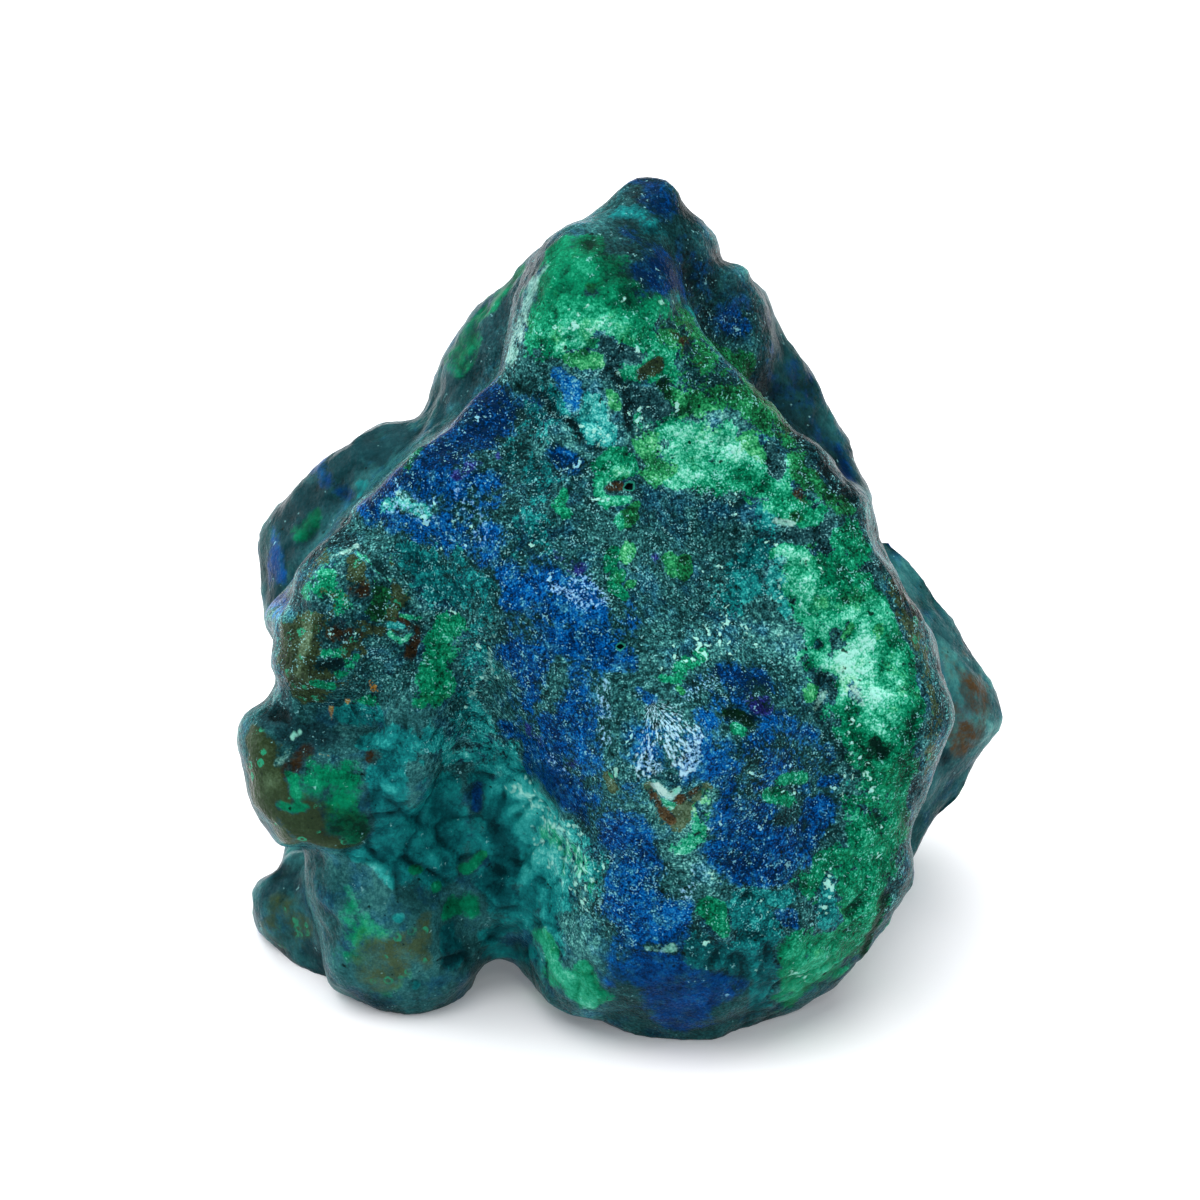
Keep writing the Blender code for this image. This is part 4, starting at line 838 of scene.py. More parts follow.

# %% [markdown]
# Over the minerals lie clusters of pale crystal ends, some of them painted glints, and a
# painted sheen where sprays of needles catch the light.

# %% Clusters of pale crystal and painted glints, painted sheen on the sprays, and the fibres' painted highlight
# across, up, half width, strength
# clusters of pale crystal ends; some are painted glints
FLECKS = [
    (-0.6, 12.7, 0.7, 1.0), (-1.6, 13.3, 0.8, 0.7), (-3.1, 12.0, 0.3, 1.1),
    (-1.0, 14.0, 0.4, 0.7), (-1.6, 9.9, 0.6, 0.8), (-0.4, 8.6, 0.6, 1.0), (0.4, 8.1, 0.5, 1.0),
    (1.8, 8.8, 0.35, 1.1), (2.2, 8.3, 0.3, 1.1), (3.8, 9.05, 0.3, 1.4), (2.2, 11.7, 0.4, 0.8),
    (1.0, 10.2, 0.4, 0.8), (5.3, 7.2, 0.4, 1.0), (4.6, 7.0, 0.8, 0.5), (-5.7, 8.7, 0.5, 0.8),
    (-9.6, 4.4, 0.6, 1.0), (-8.4, 4.1, 0.7, 1.0), (-7.2, 2.6, 1.2, 0.7), (-5.4, 2.9, 0.5, 0.9),
    (-6.6, 1.8, 0.5, 0.7), (-1.2, 6.7, 0.4, 0.9), (-3.3, 2.6, 0.25, 1.2), (-2.7, 1.1, 0.4, 1.0),
    (-9.0, 3.2, 0.4, 0.8), (0.4, 5.0, 0.4, 0.9), (5.4, -1.6, 0.7, 1.1), (4.8, -2.0, 0.5, 1.1),
    (7.3, -1.2, 0.5, 1.1), (8.0, -2.2, 0.5, 0.9), (8.6, -1.7, 0.4, 0.8), (6.0, -0.8, 0.4, 1.0),
    (5.8, 1.3, 0.5, 1.0), (6.6, 4.2, 0.5, 0.8), (8.0, 2.4, 0.4, 1.3), (7.0, 3.5, 0.4, 0.8),
    (4.0, -2.5, 0.2, 1.3), (6.4, 0.1, 0.3, 0.9), (10.6, 1.6, 0.3, 1.0), (3.8, -3.5, 0.6, 0.8),
    (12.1, -6.2, 0.4, 1.1), (12.3, -7.0, 0.5, 1.1), (12.6, -7.6, 0.4, 1.1), (12.4, -8.6, 0.6, 1.1),
    (13.1, -8.8, 0.4, 1.0), (11.7, -5.0, 0.5, 0.9), (13.8, -6.2, 0.5, 0.7), (14.2, -4.2, 0.8, 0.6),
    (12.8, -2.8, 0.8, 0.5), (0.9, -9.9, 0.5, 0.8), (1.2, -6.8, 0.6, 0.6), (-0.6, -7.4, 0.8, 0.6),
    (-4.3, -9.2, 0.4, 1.2), (-3.7, -8.9, 0.3, 1.1), (-2.8, -10.4, 0.5, 1.2), (-2.0, -10.8, 0.5, 1.2),
    (-1.8, -11.8, 0.7, 1.1), (-2.8, -11.4, 0.6, 0.9), (-0.7, -11.3, 0.4, 1.1), (-2.2, -12.6, 0.5, 1.0),
    (-1.4, -13.4, 0.6, 1.1), (-0.6, -13.0, 0.4, 1.1), (-1.0, -14.3, 0.25, 1.4), (-5.4, -2.2, 0.4, 1.0),
    (-5.6, -4.0, 0.5, 0.9), (-5.9, -5.2, 0.5, 0.8), (-7.1, -0.7, 0.2, 1.2), (-11.6, -1.4, 0.9, 0.6),
    (-11.6, 0.8, 0.7, 0.6), (-13.4, -1.0, 0.6, 0.5), (5.4, -10.9, 0.5, 0.9), (7.5, -11.2, 0.2, 1.2),
    (9.2, -10.8, 0.7, 0.6), (7.2, -8.0, 0.3, 1.0), (9.1, -7.8, 0.2, 1.3), (10.7, -6.7, 0.5, 0.7),
    (11.1, -9.0, 0.4, 0.9), (5.2, -13.4, 0.6, 0.9), (4.6, -13.2, 0.4, 0.8), (10.8, -13.6, 0.35, 1.2),
    (10.8, -14.65, 0.28, 1.4), (10.9, -16.8, 1.0, 0.4), (9.8, -17.9, 0.6, 1.0), (3.7, -15.7, 0.2, 1.3),
    (5.0, -16.4, 0.2, 1.3), (5.8, -18.95, 0.2, 1.5), (7.5, -17.6, 0.25, 1.1), (13.2, -12.2, 0.2, 1.2),
    (12.2, -13.6, 0.5, 0.8), (8.5, -14.7, 0.5, 0.8), (3.0, 14.05, 0.25, 1.2), (3.75, 14.1, 0.15, 1.2),
    (5.2, 12.9, 0.2, 1.1), (5.5, 12.6, 0.15, 1.2), (6.8, 13.1, 0.2, 1.1), (1.25, 14.3, 0.15, 1.6),
    (4.4, -1.7, 0.6, 1.2), (5.9, -2.4, 0.4, 1.1), (3.4, -3.0, 0.4, 0.9), (9.4, -3.4, 0.5, 0.7),
    (2.0, 8.5, 0.5, 1.0), (-1.6, 12.9, 0.7, 1.0), (0.8, 12.8, 0.6, 1.0), (-2.6, 13.0, 0.5, 0.9),
    (12.7, -8.2, 0.7, 0.9), (11.9, -9.2, 0.5, 0.9), (13.4, -10.4, 0.7, 0.7), (2.8, -1.0, 0.8, 0.6),
    (-3.4, 4.4, 0.9, 0.5), (3.6, 5.0, 1.0, 0.5), (0.2, 2.4, 0.6, 0.6), (-8.2, 3.4, 0.8, 0.8),
    (8.6, 0.4, 0.7, 0.8), (10.4, -1.2, 0.7, 0.6), (6.4, -13.6, 0.8, 0.7), (8.2, -16.2, 0.8, 0.7),
    (-3.4, -10.0, 0.6, 1.1), (-1.4, -12.6, 0.6, 1.0), (5.8, -10.0, 0.6, 0.8), (9.6, -9.4, 0.7, 0.7),
]
# painted sheen on the sprays: strength, then places along the spray: across, up, half width
PAINTED_SHEENS = [
    (1.0, [(-2.5, 1.0, 0.22), (-1.6, 0.4, 0.32), (-1.0, -0.2, 0.28)]),
    (0.7, [(-0.8, 1.2, 0.5), (-0.1, 0.2, 0.6)]),
    (0.9, [(2.1, -7.2, 0.3), (1.9, -7.8, 0.36), (2.6, -8.2, 0.3)]),
    (1.1, [(4.7, -6.9, 0.28), (4.6, -7.5, 0.34), (4.1, -8.1, 0.28)]),
    (0.6, [(0.0, -4.4, 0.4), (-0.1, -5.6, 0.36), (0.0, -6.6, 0.3)]),
    (0.7, [(-10.2, 4.2, 0.35), (-9.2, 4.4, 0.45), (-8.2, 4.2, 0.45)]),
    (0.5, [(-6.9, 4.9, 0.3), (-5.6, 2.9, 0.5)]),
    (0.6, [(-2.6, -7.5, 0.3), (-2.2, -8.0, 0.3)]),
    (0.5, [(4.6, -13.0, 0.5), (3.8, -14.2, 0.3)]),
    (0.5, [(5.2, -4.2, 0.6), (4.4, -4.6, 0.4)]),
]
# long fibres that spread from one place, with a painted highlight along them: the place, then the patch the
# highlight shows in
FAN_FROM = (2.3, -4.6)
FAN_GLINT = [(2.4, -5.6, 0.5), (3.4, -6.0, 0.8), (4.3, -6.8, 0.7), (4.2, -7.8, 0.5)]
FAN_GLINT_LEFT = [(2.1, -6.8, 0.4), (2.0, -8.0, 0.7)]
MINERALS = ["basalt", "azurite", "chrysocolla", "malachite", "grass", "limonite", "umber",
            "violet", "ochre", "chalk"]
print("clusters:", len(FLECKS), "sprays:", len(PAINTED_SHEENS))

# %% [markdown]
# The back can't be placed one by one, so there each mineral lies where a slow noise of its own
# is high.  "calm" marks where the grain should look soft: the parts that lie far behind,
# the crest, the valley and the foot.

# %% Lay the patches, over a back whose pattern is noise
hidden = smoothstep(0.10, -0.30, normal @ OUT)
amount = {mineral: np.zeros(len(points)) for mineral in MINERALS}
for k, (mineral, level) in enumerate((("azurite", 0.02), ("malachite", 0.00), ("chrysocolla", 0.16),
                                      ("limonite", 0.24), ("basalt", 0.06))):
    noise = rumble(stirred / 6.5 + k * 7.3, 31 + k) + 0.4 * rumble(stirred / 2.7, 41 + k)
    amount[mineral] = hidden * smoothstep(level, level + 0.22, noise)
tone = 0.42 + 0.4 * rumble(stirred / 3.1, 51)
cloud = 0.16 * rumble(stirred / 1.9, 52)
for mineral, shade, strength, route in PATCHES:
    cover = strength * stroke(route)
    for other in MINERALS:
        amount[other] *= 1.0 - cover
    if mineral != "slate":
        amount[mineral] += cover
    tone = tone * (1.0 - cover) + (shade + cloud) * cover
# pale flecks, some of them painted glints
flecks = 0.4 * hidden * np.maximum(rumble(stirred / 3.3, 61), 0.0)
for across, up, half, strength in FLECKS:
    flecks = np.maximum(flecks, strength * stroke([(across, up, 1.3 * half)], soft=0.7))
# painted sheen on the sprays of needles
painted_sheen = np.zeros(len(points))
for strength, route in PAINTED_SHEENS:
    painted_sheen = np.maximum(painted_sheen, strength * stroke(route, soft=0.6))
# painted highlight along the spreading fibres
fan_glint = np.maximum(stroke(FAN_GLINT, soft=0.6), 0.9 * stroke(FAN_GLINT_LEFT, soft=0.6))
fan_place = on_surface(*FAN_FROM) @ FACE + ORIGIN
calm = np.maximum.reduce([
    smoothstep(3.2, -1.6, q[:, 2]),
    0.6 * smoothstep(12.0, 15.0, seen_up),
    0.85 * smoothstep(0.0, -3.5, seen_across) * smoothstep(-6.0, -9.5, seen_up),
    0.75 * smoothstep(-15.0, -18.0, seen_up),
    0.6 * smoothstep(-6.5, -9.0, seen_across) * smoothstep(-3.5, -6.0, seen_up),
])
calm *= 1.0 - 0.85 * hidden
print({m: round(float(a.mean()), 3) for m, a in amount.items()})

# %% [markdown]
# ## Pits, seams and grain
#
# The tumbler does not reach into everything.  Round pits where a crystal fell out, seams
# where two bodies of mineral meet, and the crumbly druse of the valley stay rough.  They
# are small, but they catch the light, so they are pressed into the mesh; two of the pits
# also get painted shade inside and a painted highlight round the rim.

# %% Cells, for plates and grains


def cells(p, size, seed):
    """Scattered seed points, one to a lattice cube of the given size.  Returns the distance
    to the nearest and to the next nearest, in cubes, and a random number for the nearest."""
    q = p / size
    cube = np.floor(q).astype(np.int64)
    first = np.full(len(q), 9.0)
    second = np.full(len(q), 9.0)
    chosen = np.zeros(len(q))
    for corner in np.ndindex(3, 3, 3):
        c = cube + np.array(corner) - 1
        h, parts = hashed(c, seed)
        centre = c + parts / 1023.0
        d = np.linalg.norm(q - centre, axis=1)
        nearer = d < first
        second = np.where(nearer, first, np.minimum(second, d))
        chosen = np.where(nearer, ((h >> 5) & 1023) / 1023.0, chosen)
        first = np.where(nearer, d, first)
    return first, second, chosen


plate_near, plate_next, plate_pick = cells(points + 0.5 * stir, 1.9, 81)
grain_near, grain_next, grain_pick = cells(points + 0.15 * stir, 0.75, 82)
print("cells found")

# %% [markdown]
# The joined lobes are a little too full or too lean at the sides.  "Trims" take a smooth
# share off them, or add one, only where the surface is seen edge on, so the face keeps its
# place.  Pits and seams are pressed in, and the druse is raised as plates, grain and noise.

# %% Trim the sides, press in pits and seams, and raise the druse
# depth in mm, how much painted shade inside, then places along the pit: across, up, half width
PITS = [
    (0.30, 0.0, [(2.3, -9.5, 0.34), (2.7, -10.1, 0.40), (3.4, -10.4, 0.45), (4.2, -10.1, 0.45),
                 (4.8, -9.5, 0.34)]),
    (0.26, 1.0, [(1.22, -2.08, 0.15)]),
    (0.30, 0.9, [(1.35, 5.5, 0.14), (1.6, 5.4, 0.18)]),
    (0.24, 0.0, [(8.6, -9.25, 0.22)]),
    (0.30, 0.0, [(13.4, -6.8, 0.24), (13.7, -7.3, 0.3)]),
    (0.28, 0.0, [(6.4, -5.3, 0.3), (7.2, -5.5, 0.35)]),
    (0.26, 0.0, [(-13.1, -3.4, 0.4), (-12.5, -3.4, 0.4)]),
    (0.16, 0.0, [(2.3, 10.6, 0.3), (2.8, 10.9, 0.4)]),
    (0.16, 0.0, [(0.65, 5.45, 0.32)]),
    (0.12, 0.0, [(0.1, -8.5, 0.3), (0.2, -9.1, 0.4)]),
    (0.16, 0.0, [(7.35, 3.55, 0.16)]),
    (0.14, 0.0, [(10.7, -3.9, 0.3), (11.3, -4.2, 0.4)]),
    (0.30, 0.0, [(-15.6, -5.1, 0.35), (-15.0, -5.2, 0.3)]),
    (0.18, 0.0, [(11.8, -14.9, 0.3), (12.4, -14.6, 0.25)]),
    (0.14, 0.0, [(3.1, 10.0, 0.25), (3.3, 9.6, 0.2)]),
]
# depth, half width, then places along the seam
SEAMS = [
    (0.16, 0.20, [(-4.0, 10.1), (-3.0, 9.4), (-2.2, 8.8), (-1.2, 8.6), (-0.8, 7.8), (0.2, 7.3)]),
    (0.14, 0.18, [(0.4, 10.9), (1.2, 9.9), (1.5, 8.9), (1.9, 8.0), (2.6, 8.1), (4.2, 8.7)]),
    (0.12, 0.16, [(-2.2, 11.4), (-1.4, 11.3), (-0.8, 11.6), (-0.2, 12.3)]),
    (0.20, 0.22, [(-11.3, 2.8), (-10.1, 1.6), (-9.2, 0.6), (-8.9, -0.4)]),
    (0.14, 0.18, [(7.9, 7.4), (7.9, 5.7), (6.5, 4.7)]),
    (0.12, 0.16, [(10.2, 3.6), (10.5, 2.6), (10.9, 2.2)]),
    (0.16, 0.20, [(9.8, -2.6), (10.5, -3.8), (10.6, -5.6), (11.4, -7.6)]),
    (0.12, 0.18, [(6.3, -14.0), (7.4, -14.3), (8.8, -14.0), (10.2, -13.8)]),
    (0.10, 0.16, [(5.0, 1.0), (5.2, 0.0), (5.4, -0.8)]),
]
# millimetres off the sides, then the place and how far around it (across, up, radius); a
# side that stands proud is below zero
TRIMS = [
    (0.55, 13.8, 2.8, 1.6), (0.55, 15.6, 0.6, 1.8), (0.40, 17.6, -2.2, 1.2), (0.45, 17.4, -8.2, 1.6),
    (0.75, 15.7, -11.0, 1.9), (-0.35, 18.4, -5.9, 1.2), (0.80, -8.5, 9.6, 1.4),
    (0.40, -16.2, 1.5, 1.2), (0.55, -16.0, -4.8, 1.2), (0.70, -15.4, -12.6, 0.9),
    (0.40, 4.3, 18.6, 0.9), (-0.45, 11.2, 7.9, 1.3), (-0.30, 7.5, 14.2, 1.1), (-0.40, 12.6, 4.8, 0.9),
    (-0.40, -13.3, 6.2, 1.8), (-0.55, -15.1, -0.8, 0.7), (-0.60, -14.8, -11.4, 0.8),
    (-0.40, -15.8, -15.6, 1.0), (-0.80, -12.6, -18.2, 2.0), (-0.15, 9.0, -19.5, 1.0),
    (0.50, -5.2, -17.6, 1.4), (0.35, 5.9, 16.2, 0.5), (-0.30, 6.6, 15.4, 0.6),
]
sideways = 1.0 - (normal @ OUT) ** 2
lift = np.zeros(len(points))
for taken, across, up, radius in TRIMS:
    far = np.hypot(seen_across - across, seen_up - up)
    lift -= taken * sideways * np.exp(-(far / radius) ** 2)
pit = np.zeros(len(points))
for depth, dark, route in PITS:
    share = stroke(route, soft=0.6)
    lift -= depth * share
    pit = np.maximum(pit, dark * share)
bent = q + 0.5 * stir
for depth, half_width, route in SEAMS:
    posts = np.array([on_surface(*post) for post in route])
    near = np.full(len(points), 99.0)
    for a, b in zip(posts[:-1], posts[1:]):
        t = np.clip((bent - a) @ (b - a) / ((b - a) @ (b - a)), 0.0, 1.0)
        near = np.minimum(near, np.linalg.norm(bent - a - t[:, None] * (b - a), axis=1))
    lift -= depth * smoothstep(2.0 * half_width, 0.2 * half_width, near)
crumbly = np.clip(0.25 + 0.5 * (amount["malachite"] + amount["grass"]) + amount["chrysocolla"]
                  + 0.3 * amount["basalt"] - 0.2 * amount["azurite"] - 0.3 * amount["limonite"],
                  0.1, 1.0)
crack = smoothstep(0.16, 0.02, plate_next - plate_near)
lift += crumbly * (0.10 * (plate_pick - 0.5) - 0.11 * crack)
lift += 0.10 * crumbly * (0.5 - grain_near) * (0.4 + 1.2 * grain_pick)
lift += 0.16 * (0.3 + crumbly) * rumble(points / 1.15, 71)
lift += 0.10 * (0.3 + crumbly) * rumble(points / 0.56, 72)
lift += 0.04 * (amount["malachite"] - amount["azurite"])
points = points + normal * lift[:, None]
points[:, 2] = np.maximum(points[:, 2], 0.0)
print("deepest pit", round(float(-lift.min()), 2), "mm, highest grain", round(float(lift.max()), 2))

# %% [markdown]
# The material pales what stands proud and lays painted shade into what is sunken, so it
# needs to know which is which: each place's lift, less the average of the lifts around it.

# %% How far each place stands above or below its surroundings


def relief_of(values, edges, rounds):
    """A value less its own average over a widening ring of neighbours."""
    ends = np.concatenate([edges, edges[:, ::-1]])
    degree = np.bincount(ends[:, 0], minlength=len(values))
    smooth = values
    for _ in range(rounds):
        smooth = np.bincount(ends[:, 0], smooth[ends[:, 1]], len(values)) / degree
    return values - smooth


standing = relief_of(lift, net_edges(grid), 12)
print("relief", round(float(standing.std()), 3), "mm")

# %% [markdown]
# The mesh is made from whole arrays, moved in plan to lie over the solid's box, and carries
# every amount as one number for each point.

# %% Make the mesh and store the minerals on it


def make_mesh(name, places, quads):
    """A mesh object from arrays: places in millimetres, four-sided faces, smooth."""
    mesh = bpy.data.meshes.new(name)
    mesh.vertices.add(len(places))
    mesh.vertices.foreach_set("co", (places * MM).astype(np.float32).ravel())
    mesh.loops.add(quads.size)
    mesh.loops.foreach_set("vertex_index", quads.astype(np.int32).ravel())
    mesh.polygons.add(len(quads))
    mesh.polygons.foreach_set("loop_start", np.arange(0, quads.size, 4, dtype=np.int32))
    mesh.polygons.foreach_set("use_smooth", np.ones(len(quads), bool))
    mesh.update(calc_edges=True)
    made = bpy.data.objects.new(name, mesh)
    bpy.context.scene.collection.objects.link(made)
    return made


def store(thing, name, values):
    """Keep one number for each point of a piece, for its material to read."""
    kept = thing.data.attributes.new(name, "FLOAT", "POINT")
    kept.data.foreach_set("value", np.asarray(values, np.float32))


low, high = points.min(0), points.max(0)
box_low, box_high = np.array(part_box("specimen")) / MM
PLAN_SHIFT = np.append((box_low[:2] + box_high[:2] - low[:2] - high[:2]) / 2.0, 0.0)
points += PLAN_SHIFT
stone = make_mesh("tumbled_stone", points, net_quads(grid))
for name, values in (*amount.items(), ("tone", np.clip(tone, 0.0, 1.0)), ("flecks", flecks),
                     ("painted_sheen", painted_sheen), ("fan_glint", fan_glint), ("calm", calm), ("pit", pit),
                     ("standing", np.clip(0.5 + 3.0 * standing, 0.0, 1.0))):
    store(stone, name, values)
print("stone:", (high - low).round(2), "mm,", len(stone.data.polygons) * 2, "triangles")

# %% [markdown]
# ## The rock's finish
#
# Tumbled copper carbonate is a dense mat of needles a tenth of a millimetre wide, polished
# through, so it looks like short pale dashes on a dark ground, turning in sprays.  Each
# mineral has its own dark, middle and pale colour; the stored amounts, roughened by noise,
# choose between them with a crisp edge.
#
# The pattern could be painted on an unwrapped skin, but noise in the stone's own millimetres
# has no seam and stays sharp at any size.  One function adds every node.

# %% The rock material, and the one function that adds a node


def linear(code):
    """An sRGB hex colour as linear red, green, blue and full opacity."""
    parts = [int(code[k:k + 2], 16) / 255.0 for k in (1, 3, 5)]
    return [c / 12.92 if c <= 0.04045 else ((c + 0.055) / 1.055) ** 2.4 for c in parts] + [1.0]


rock = bpy.data.materials.new("tumbled_copper_carbonate")
rock.use_nodes = True
tree = rock.node_tree
shader = tree.nodes["Principled BSDF"]


def add(kind, *inputs, out=0, **named):
    """One node of the rock, and one output of it.  Unnamed inputs fill the sockets in order,
    and None leaves one alone.  A name with a capital is a socket's, with _ for a space, and
    any other is a setting.  An output is linked to the socket, and a plain value is set."""
    node = tree.nodes.new("ShaderNode" + kind)
    sockets = dict(enumerate(inputs))
    for name, value in named.items():
        if name[0].isupper():
            sockets[name.replace("_", " ")] = value
        else:
            setattr(node, name, value)
    for name, value in sockets.items():
        if isinstance(value, bpy.types.NodeSocket):
            tree.links.new(value, node.inputs[name])
        elif value is not None:
            node.inputs[name].default_value = value
    return node.outputs[out]


print("deep azurite is", [round(c, 3) for c in linear("#0b3f86")[:3]])

# %% [markdown]
# Nearly every pattern is a sum of noises, each with its own gain.  A noise lies around a
# half, so "around" takes that half off first, and a pattern keeps its middle when a gain
# changes.

# %% Sums, products, and one colour over another


def total(start, *parts):
    """The start, plus each (value, gain) pair's value times its gain."""
    for value, gain in parts:
        start = add("Math", value, gain, start, operation="MULTIPLY_ADD")
    return start


def around(middle, *parts):
    """The middle, plus each (value, gain) pair's distance from a half times its gain."""
    return total(middle - sum(gain for _, gain in parts) / 2.0, *parts)


def product(first, *others):
    """All the values multiplied together."""
    for value in others:
        first = add("Math", first, value, operation="MULTIPLY")
    return first


def lay(share, below, above, kind="MIX"):
    """One colour laid over another by a share.  The node's colour inputs come after five for
    numbers and vectors."""
    return add("Mix", share, *[None] * 5, below, above, out=2, data_type="RGBA", blend_type=kind)


place = add("TexCoord", out="Object")
mm = add("Mapping", place, Scale=(1.0 / MM, 1.0 / MM, 1.0 / MM))
held = {name: add("Attribute", attribute_name=name, out="Fac")
        for name in (*MINERALS, "tone", "flecks", "painted_sheen", "fan_glint", "calm", "pit", "standing")}


def calmed(value, share):
    """A noise drawn towards a half where the stone is calm, by up to the given share."""
    return total(0.5, (total(-0.5, (value, 1.0)), total(1.0, (held["calm"], -share))))


print("amounts read from the mesh:", len(held))

# %% [markdown]
# Azurite grows in sprays of needles.  Scattered centres each own a cell of about 2 mm;
# within it the noise reads the direction from the centre, so it is drawn out along the
# radius, and the radius itself cuts the streaks into needles a third of a millimetre long.
# Single needles are finer than the view can show, so their edges ("fine", 0.13 mm) and the
# dust of crystal ends (0.085 mm, a little under two pixels) are as coarse as they need to be
# to show.

# %% Grain: needles, dust, specks, mottle and the wandering of the edges
SPRAY = 2.4                     # mm across one spray
NEEDLE = 0.8                    # mm along one needle
BEAD = 0.24                     # mm across one crystal end
arm = add("VectorMath", mm, add("TexVoronoi", mm, Scale=1.0 / SPRAY, out="Position"),
          operation="SUBTRACT")
needle = calmed(add("TexNoise", add("VectorMath", arm, operation="NORMALIZE"),
                    noise_dimensions="4D",
                    W=product(add("VectorMath", arm, operation="LENGTH", out="Value"), 1.0 / NEEDLE),
                    Scale=5.5, Detail=1.5, Roughness=0.6), 0.85)
# the same place moved, so that two noises don't share their features
moved = {name: add("VectorMath", mm, shift) for name, shift in (
    ("dust", (3.0, -41.0, 13.0)), ("edge_b", (31.0, 7.0, -19.0)), ("speck", (-11.0, 23.0, 5.0)))}
# each scale is one over the size of a feature in mm
fine = calmed(add("TexNoise", mm, Scale=1.0 / 0.13, Detail=1.0, Roughness=0.6), 0.85)
dust = calmed(add("TexNoise", moved["dust"], Scale=1.0 / 0.085, Detail=0.0, Roughness=0.5), 0.9)
mottle = calmed(add("TexNoise", mm, Scale=1.0 / 0.55, Detail=3.0, Roughness=0.7), 0.5)
edge_a = add("TexNoise", mm, Scale=1.0 / 1.5, Detail=5.0, Roughness=0.68)
edge_b = add("TexNoise", moved["edge_b"], Scale=1.0 / 1.2, Detail=5.0, Roughness=0.70)
speck = add("TexNoise", moved["speck"], Scale=1.0 / 0.34, Detail=1.0, Roughness=0.6)
bead = add("TexVoronoi", mm, Scale=1.0 / BEAD, out="Distance")
grain = calmed(total(1.04, (bead, -1.0)), 0.6)
facet = calmed(add("SeparateColor", bead.node.outputs["Color"]), 0.85)
tone_value, standing_value = held["tone"], held["standing"]
print("nodes so far:", len(tree.nodes))

# %% [markdown]
# The first four sums choose how pale a mineral is at each place: "weave" for the matted
# slate, "silky" for azurite's needles, "lumps" for the grainy greens, "plain" for the brown
# stains.  All rise with the stored tone, and the first three with how far the place stands
# above its surroundings, so raised places come out paler.

# %% Each mineral's colours, from its dark seams to its pale crystal
weave = around(0.47, (needle, 1.35), (fine, 0.5), (dust, 0.75), (mottle, 0.65), (facet, 0.10),
               (tone_value, 0.9), (standing_value, 0.5))
silky = around(0.47, (needle, 1.1), (fine, 0.4), (dust, 0.70), (mottle, 0.8), (edge_a, 0.5),
               (tone_value, 0.9), (standing_value, 0.5))
lumps = around(0.48, (fine, 0.7), (dust, 0.45), (grain, 0.25), (facet, 0.18), (mottle, 0.30),
               (edge_b, 0.1), (tone_value, 1.2), (standing_value, 0.5))
plain = around(0.5, (fine, 0.5), (dust, 0.45), (facet, 0.12), (mottle, 0.6), (tone_value, 0.9))
SHADES = {
    "slate": (weave, {0.12: "#0c2628", 0.34: "#204648", 0.52: "#366568", 0.74: "#5f9792",
                      0.98: "#a8d8ce"}),
    "slate_blue": (weave, {0.12: "#082332", 0.34: "#153f52", 0.52: "#285b70", 0.74: "#528ea4",
                           0.98: "#a4cede"}),
    "azurite": (silky, {0.12: "#001c3e", 0.32: "#003a74", 0.52: "#0058a4", 0.76: "#2784c0",
                        1.00: "#8cc6e4"}),
    "malachite": (lumps, {0.05: "#042a1c", 0.26: "#04583c", 0.48: "#08825a", 0.68: "#40b08a",
                          0.86: "#92dabc", 1.00: "#ccf0e0"}),
    "grass": (lumps, {0.05: "#0a2614", 0.26: "#144e2c", 0.48: "#207c4a", 0.68: "#4aaa6c",
                      0.86: "#8ed09a", 1.00: "#ccecc6"}),
    "chrysocolla": (lumps, {0.05: "#042c32", 0.28: "#0e5459", 0.50: "#1c8484", 0.70: "#48b2ac",
                            0.95: "#aee6e0"}),
    "limonite": (plain, {0.15: "#191910", 0.45: "#3a3e27", 0.70: "#5b6046", 0.95: "#858a6e"}),
    "umber": (plain, {0.12: "#140c07", 0.45: "#3b2415", 0.70: "#623d26", 0.95: "#8c5f40"}),
    "basalt": (weave, {0.10: "#071416", 0.45: "#1a3a40", 0.75: "#3c6266", 1.00: "#7ea4a2"}),
    "violet": (weave, {0.15: "#120e38", 0.50: "#2b2a72", 0.90: "#6870b4"}),
    "ochre": (plain, {0.20: "#6e3a12", 0.50: "#b4661e", 0.85: "#d9cf9c"}),
    "chalk": (plain, {0.20: "#8fcfb8", 0.45: "#aac2b6", 0.90: "#e6e4de"}),
}
shade = {}
for name, (chosen_by, stops) in SHADES.items():
    shade[name] = add("ValToRGB", chosen_by)
    elements = shade[name].node.color_ramp.elements
    while len(elements) < len(stops):
        elements.new(0.5)
    for element, (position, code) in zip(elements, stops.items()):
        element.position = position
        element.color = linear(code)
print("shades:", len(shade))

# %% [markdown]
# Neither azurite nor malachite is pure: slate shows through the blue, and a yellower green
# runs through the green.  Then each mineral covers those before it.  The noise moves only
# the edge of a patch, where the amount is between nothing and full, and the edge is softer
# in the calm parts.

# %% Lay the minerals over the slate ground, each with a crisp wandering edge
slate_ground = lay(add("MapRange", edge_a, 0.50, 0.64), shade["slate"], shade["slate_blue"])
shared = add("MapRange", around(0.5, (mottle, 0.9), (edge_b, 0.6), (facet, 0.12)), 0.48, 0.62,
             To_Max=0.62)
shade["azurite"] = lay(shared, shade["azurite"], lay(0.5, shade["slate"], shade["slate_blue"]))
shade["malachite"] = lay(add("MapRange", edge_a, 0.56, 0.70), shade["malachite"], shade["grass"])
crisp_edge = total(0.46, (held["calm"], -0.16)), total(0.54, (held["calm"], 0.16))
soft_edge = total(0.34, (held["calm"], -0.10)), total(0.66, (held["calm"], 0.10))
SOFT = ("azurite", "umber", "violet", "chalk")
wander = dict.fromkeys(MINERALS, around(0.0, (edge_b, 2.0), (mottle, 1.5), (fine, 0.6)))
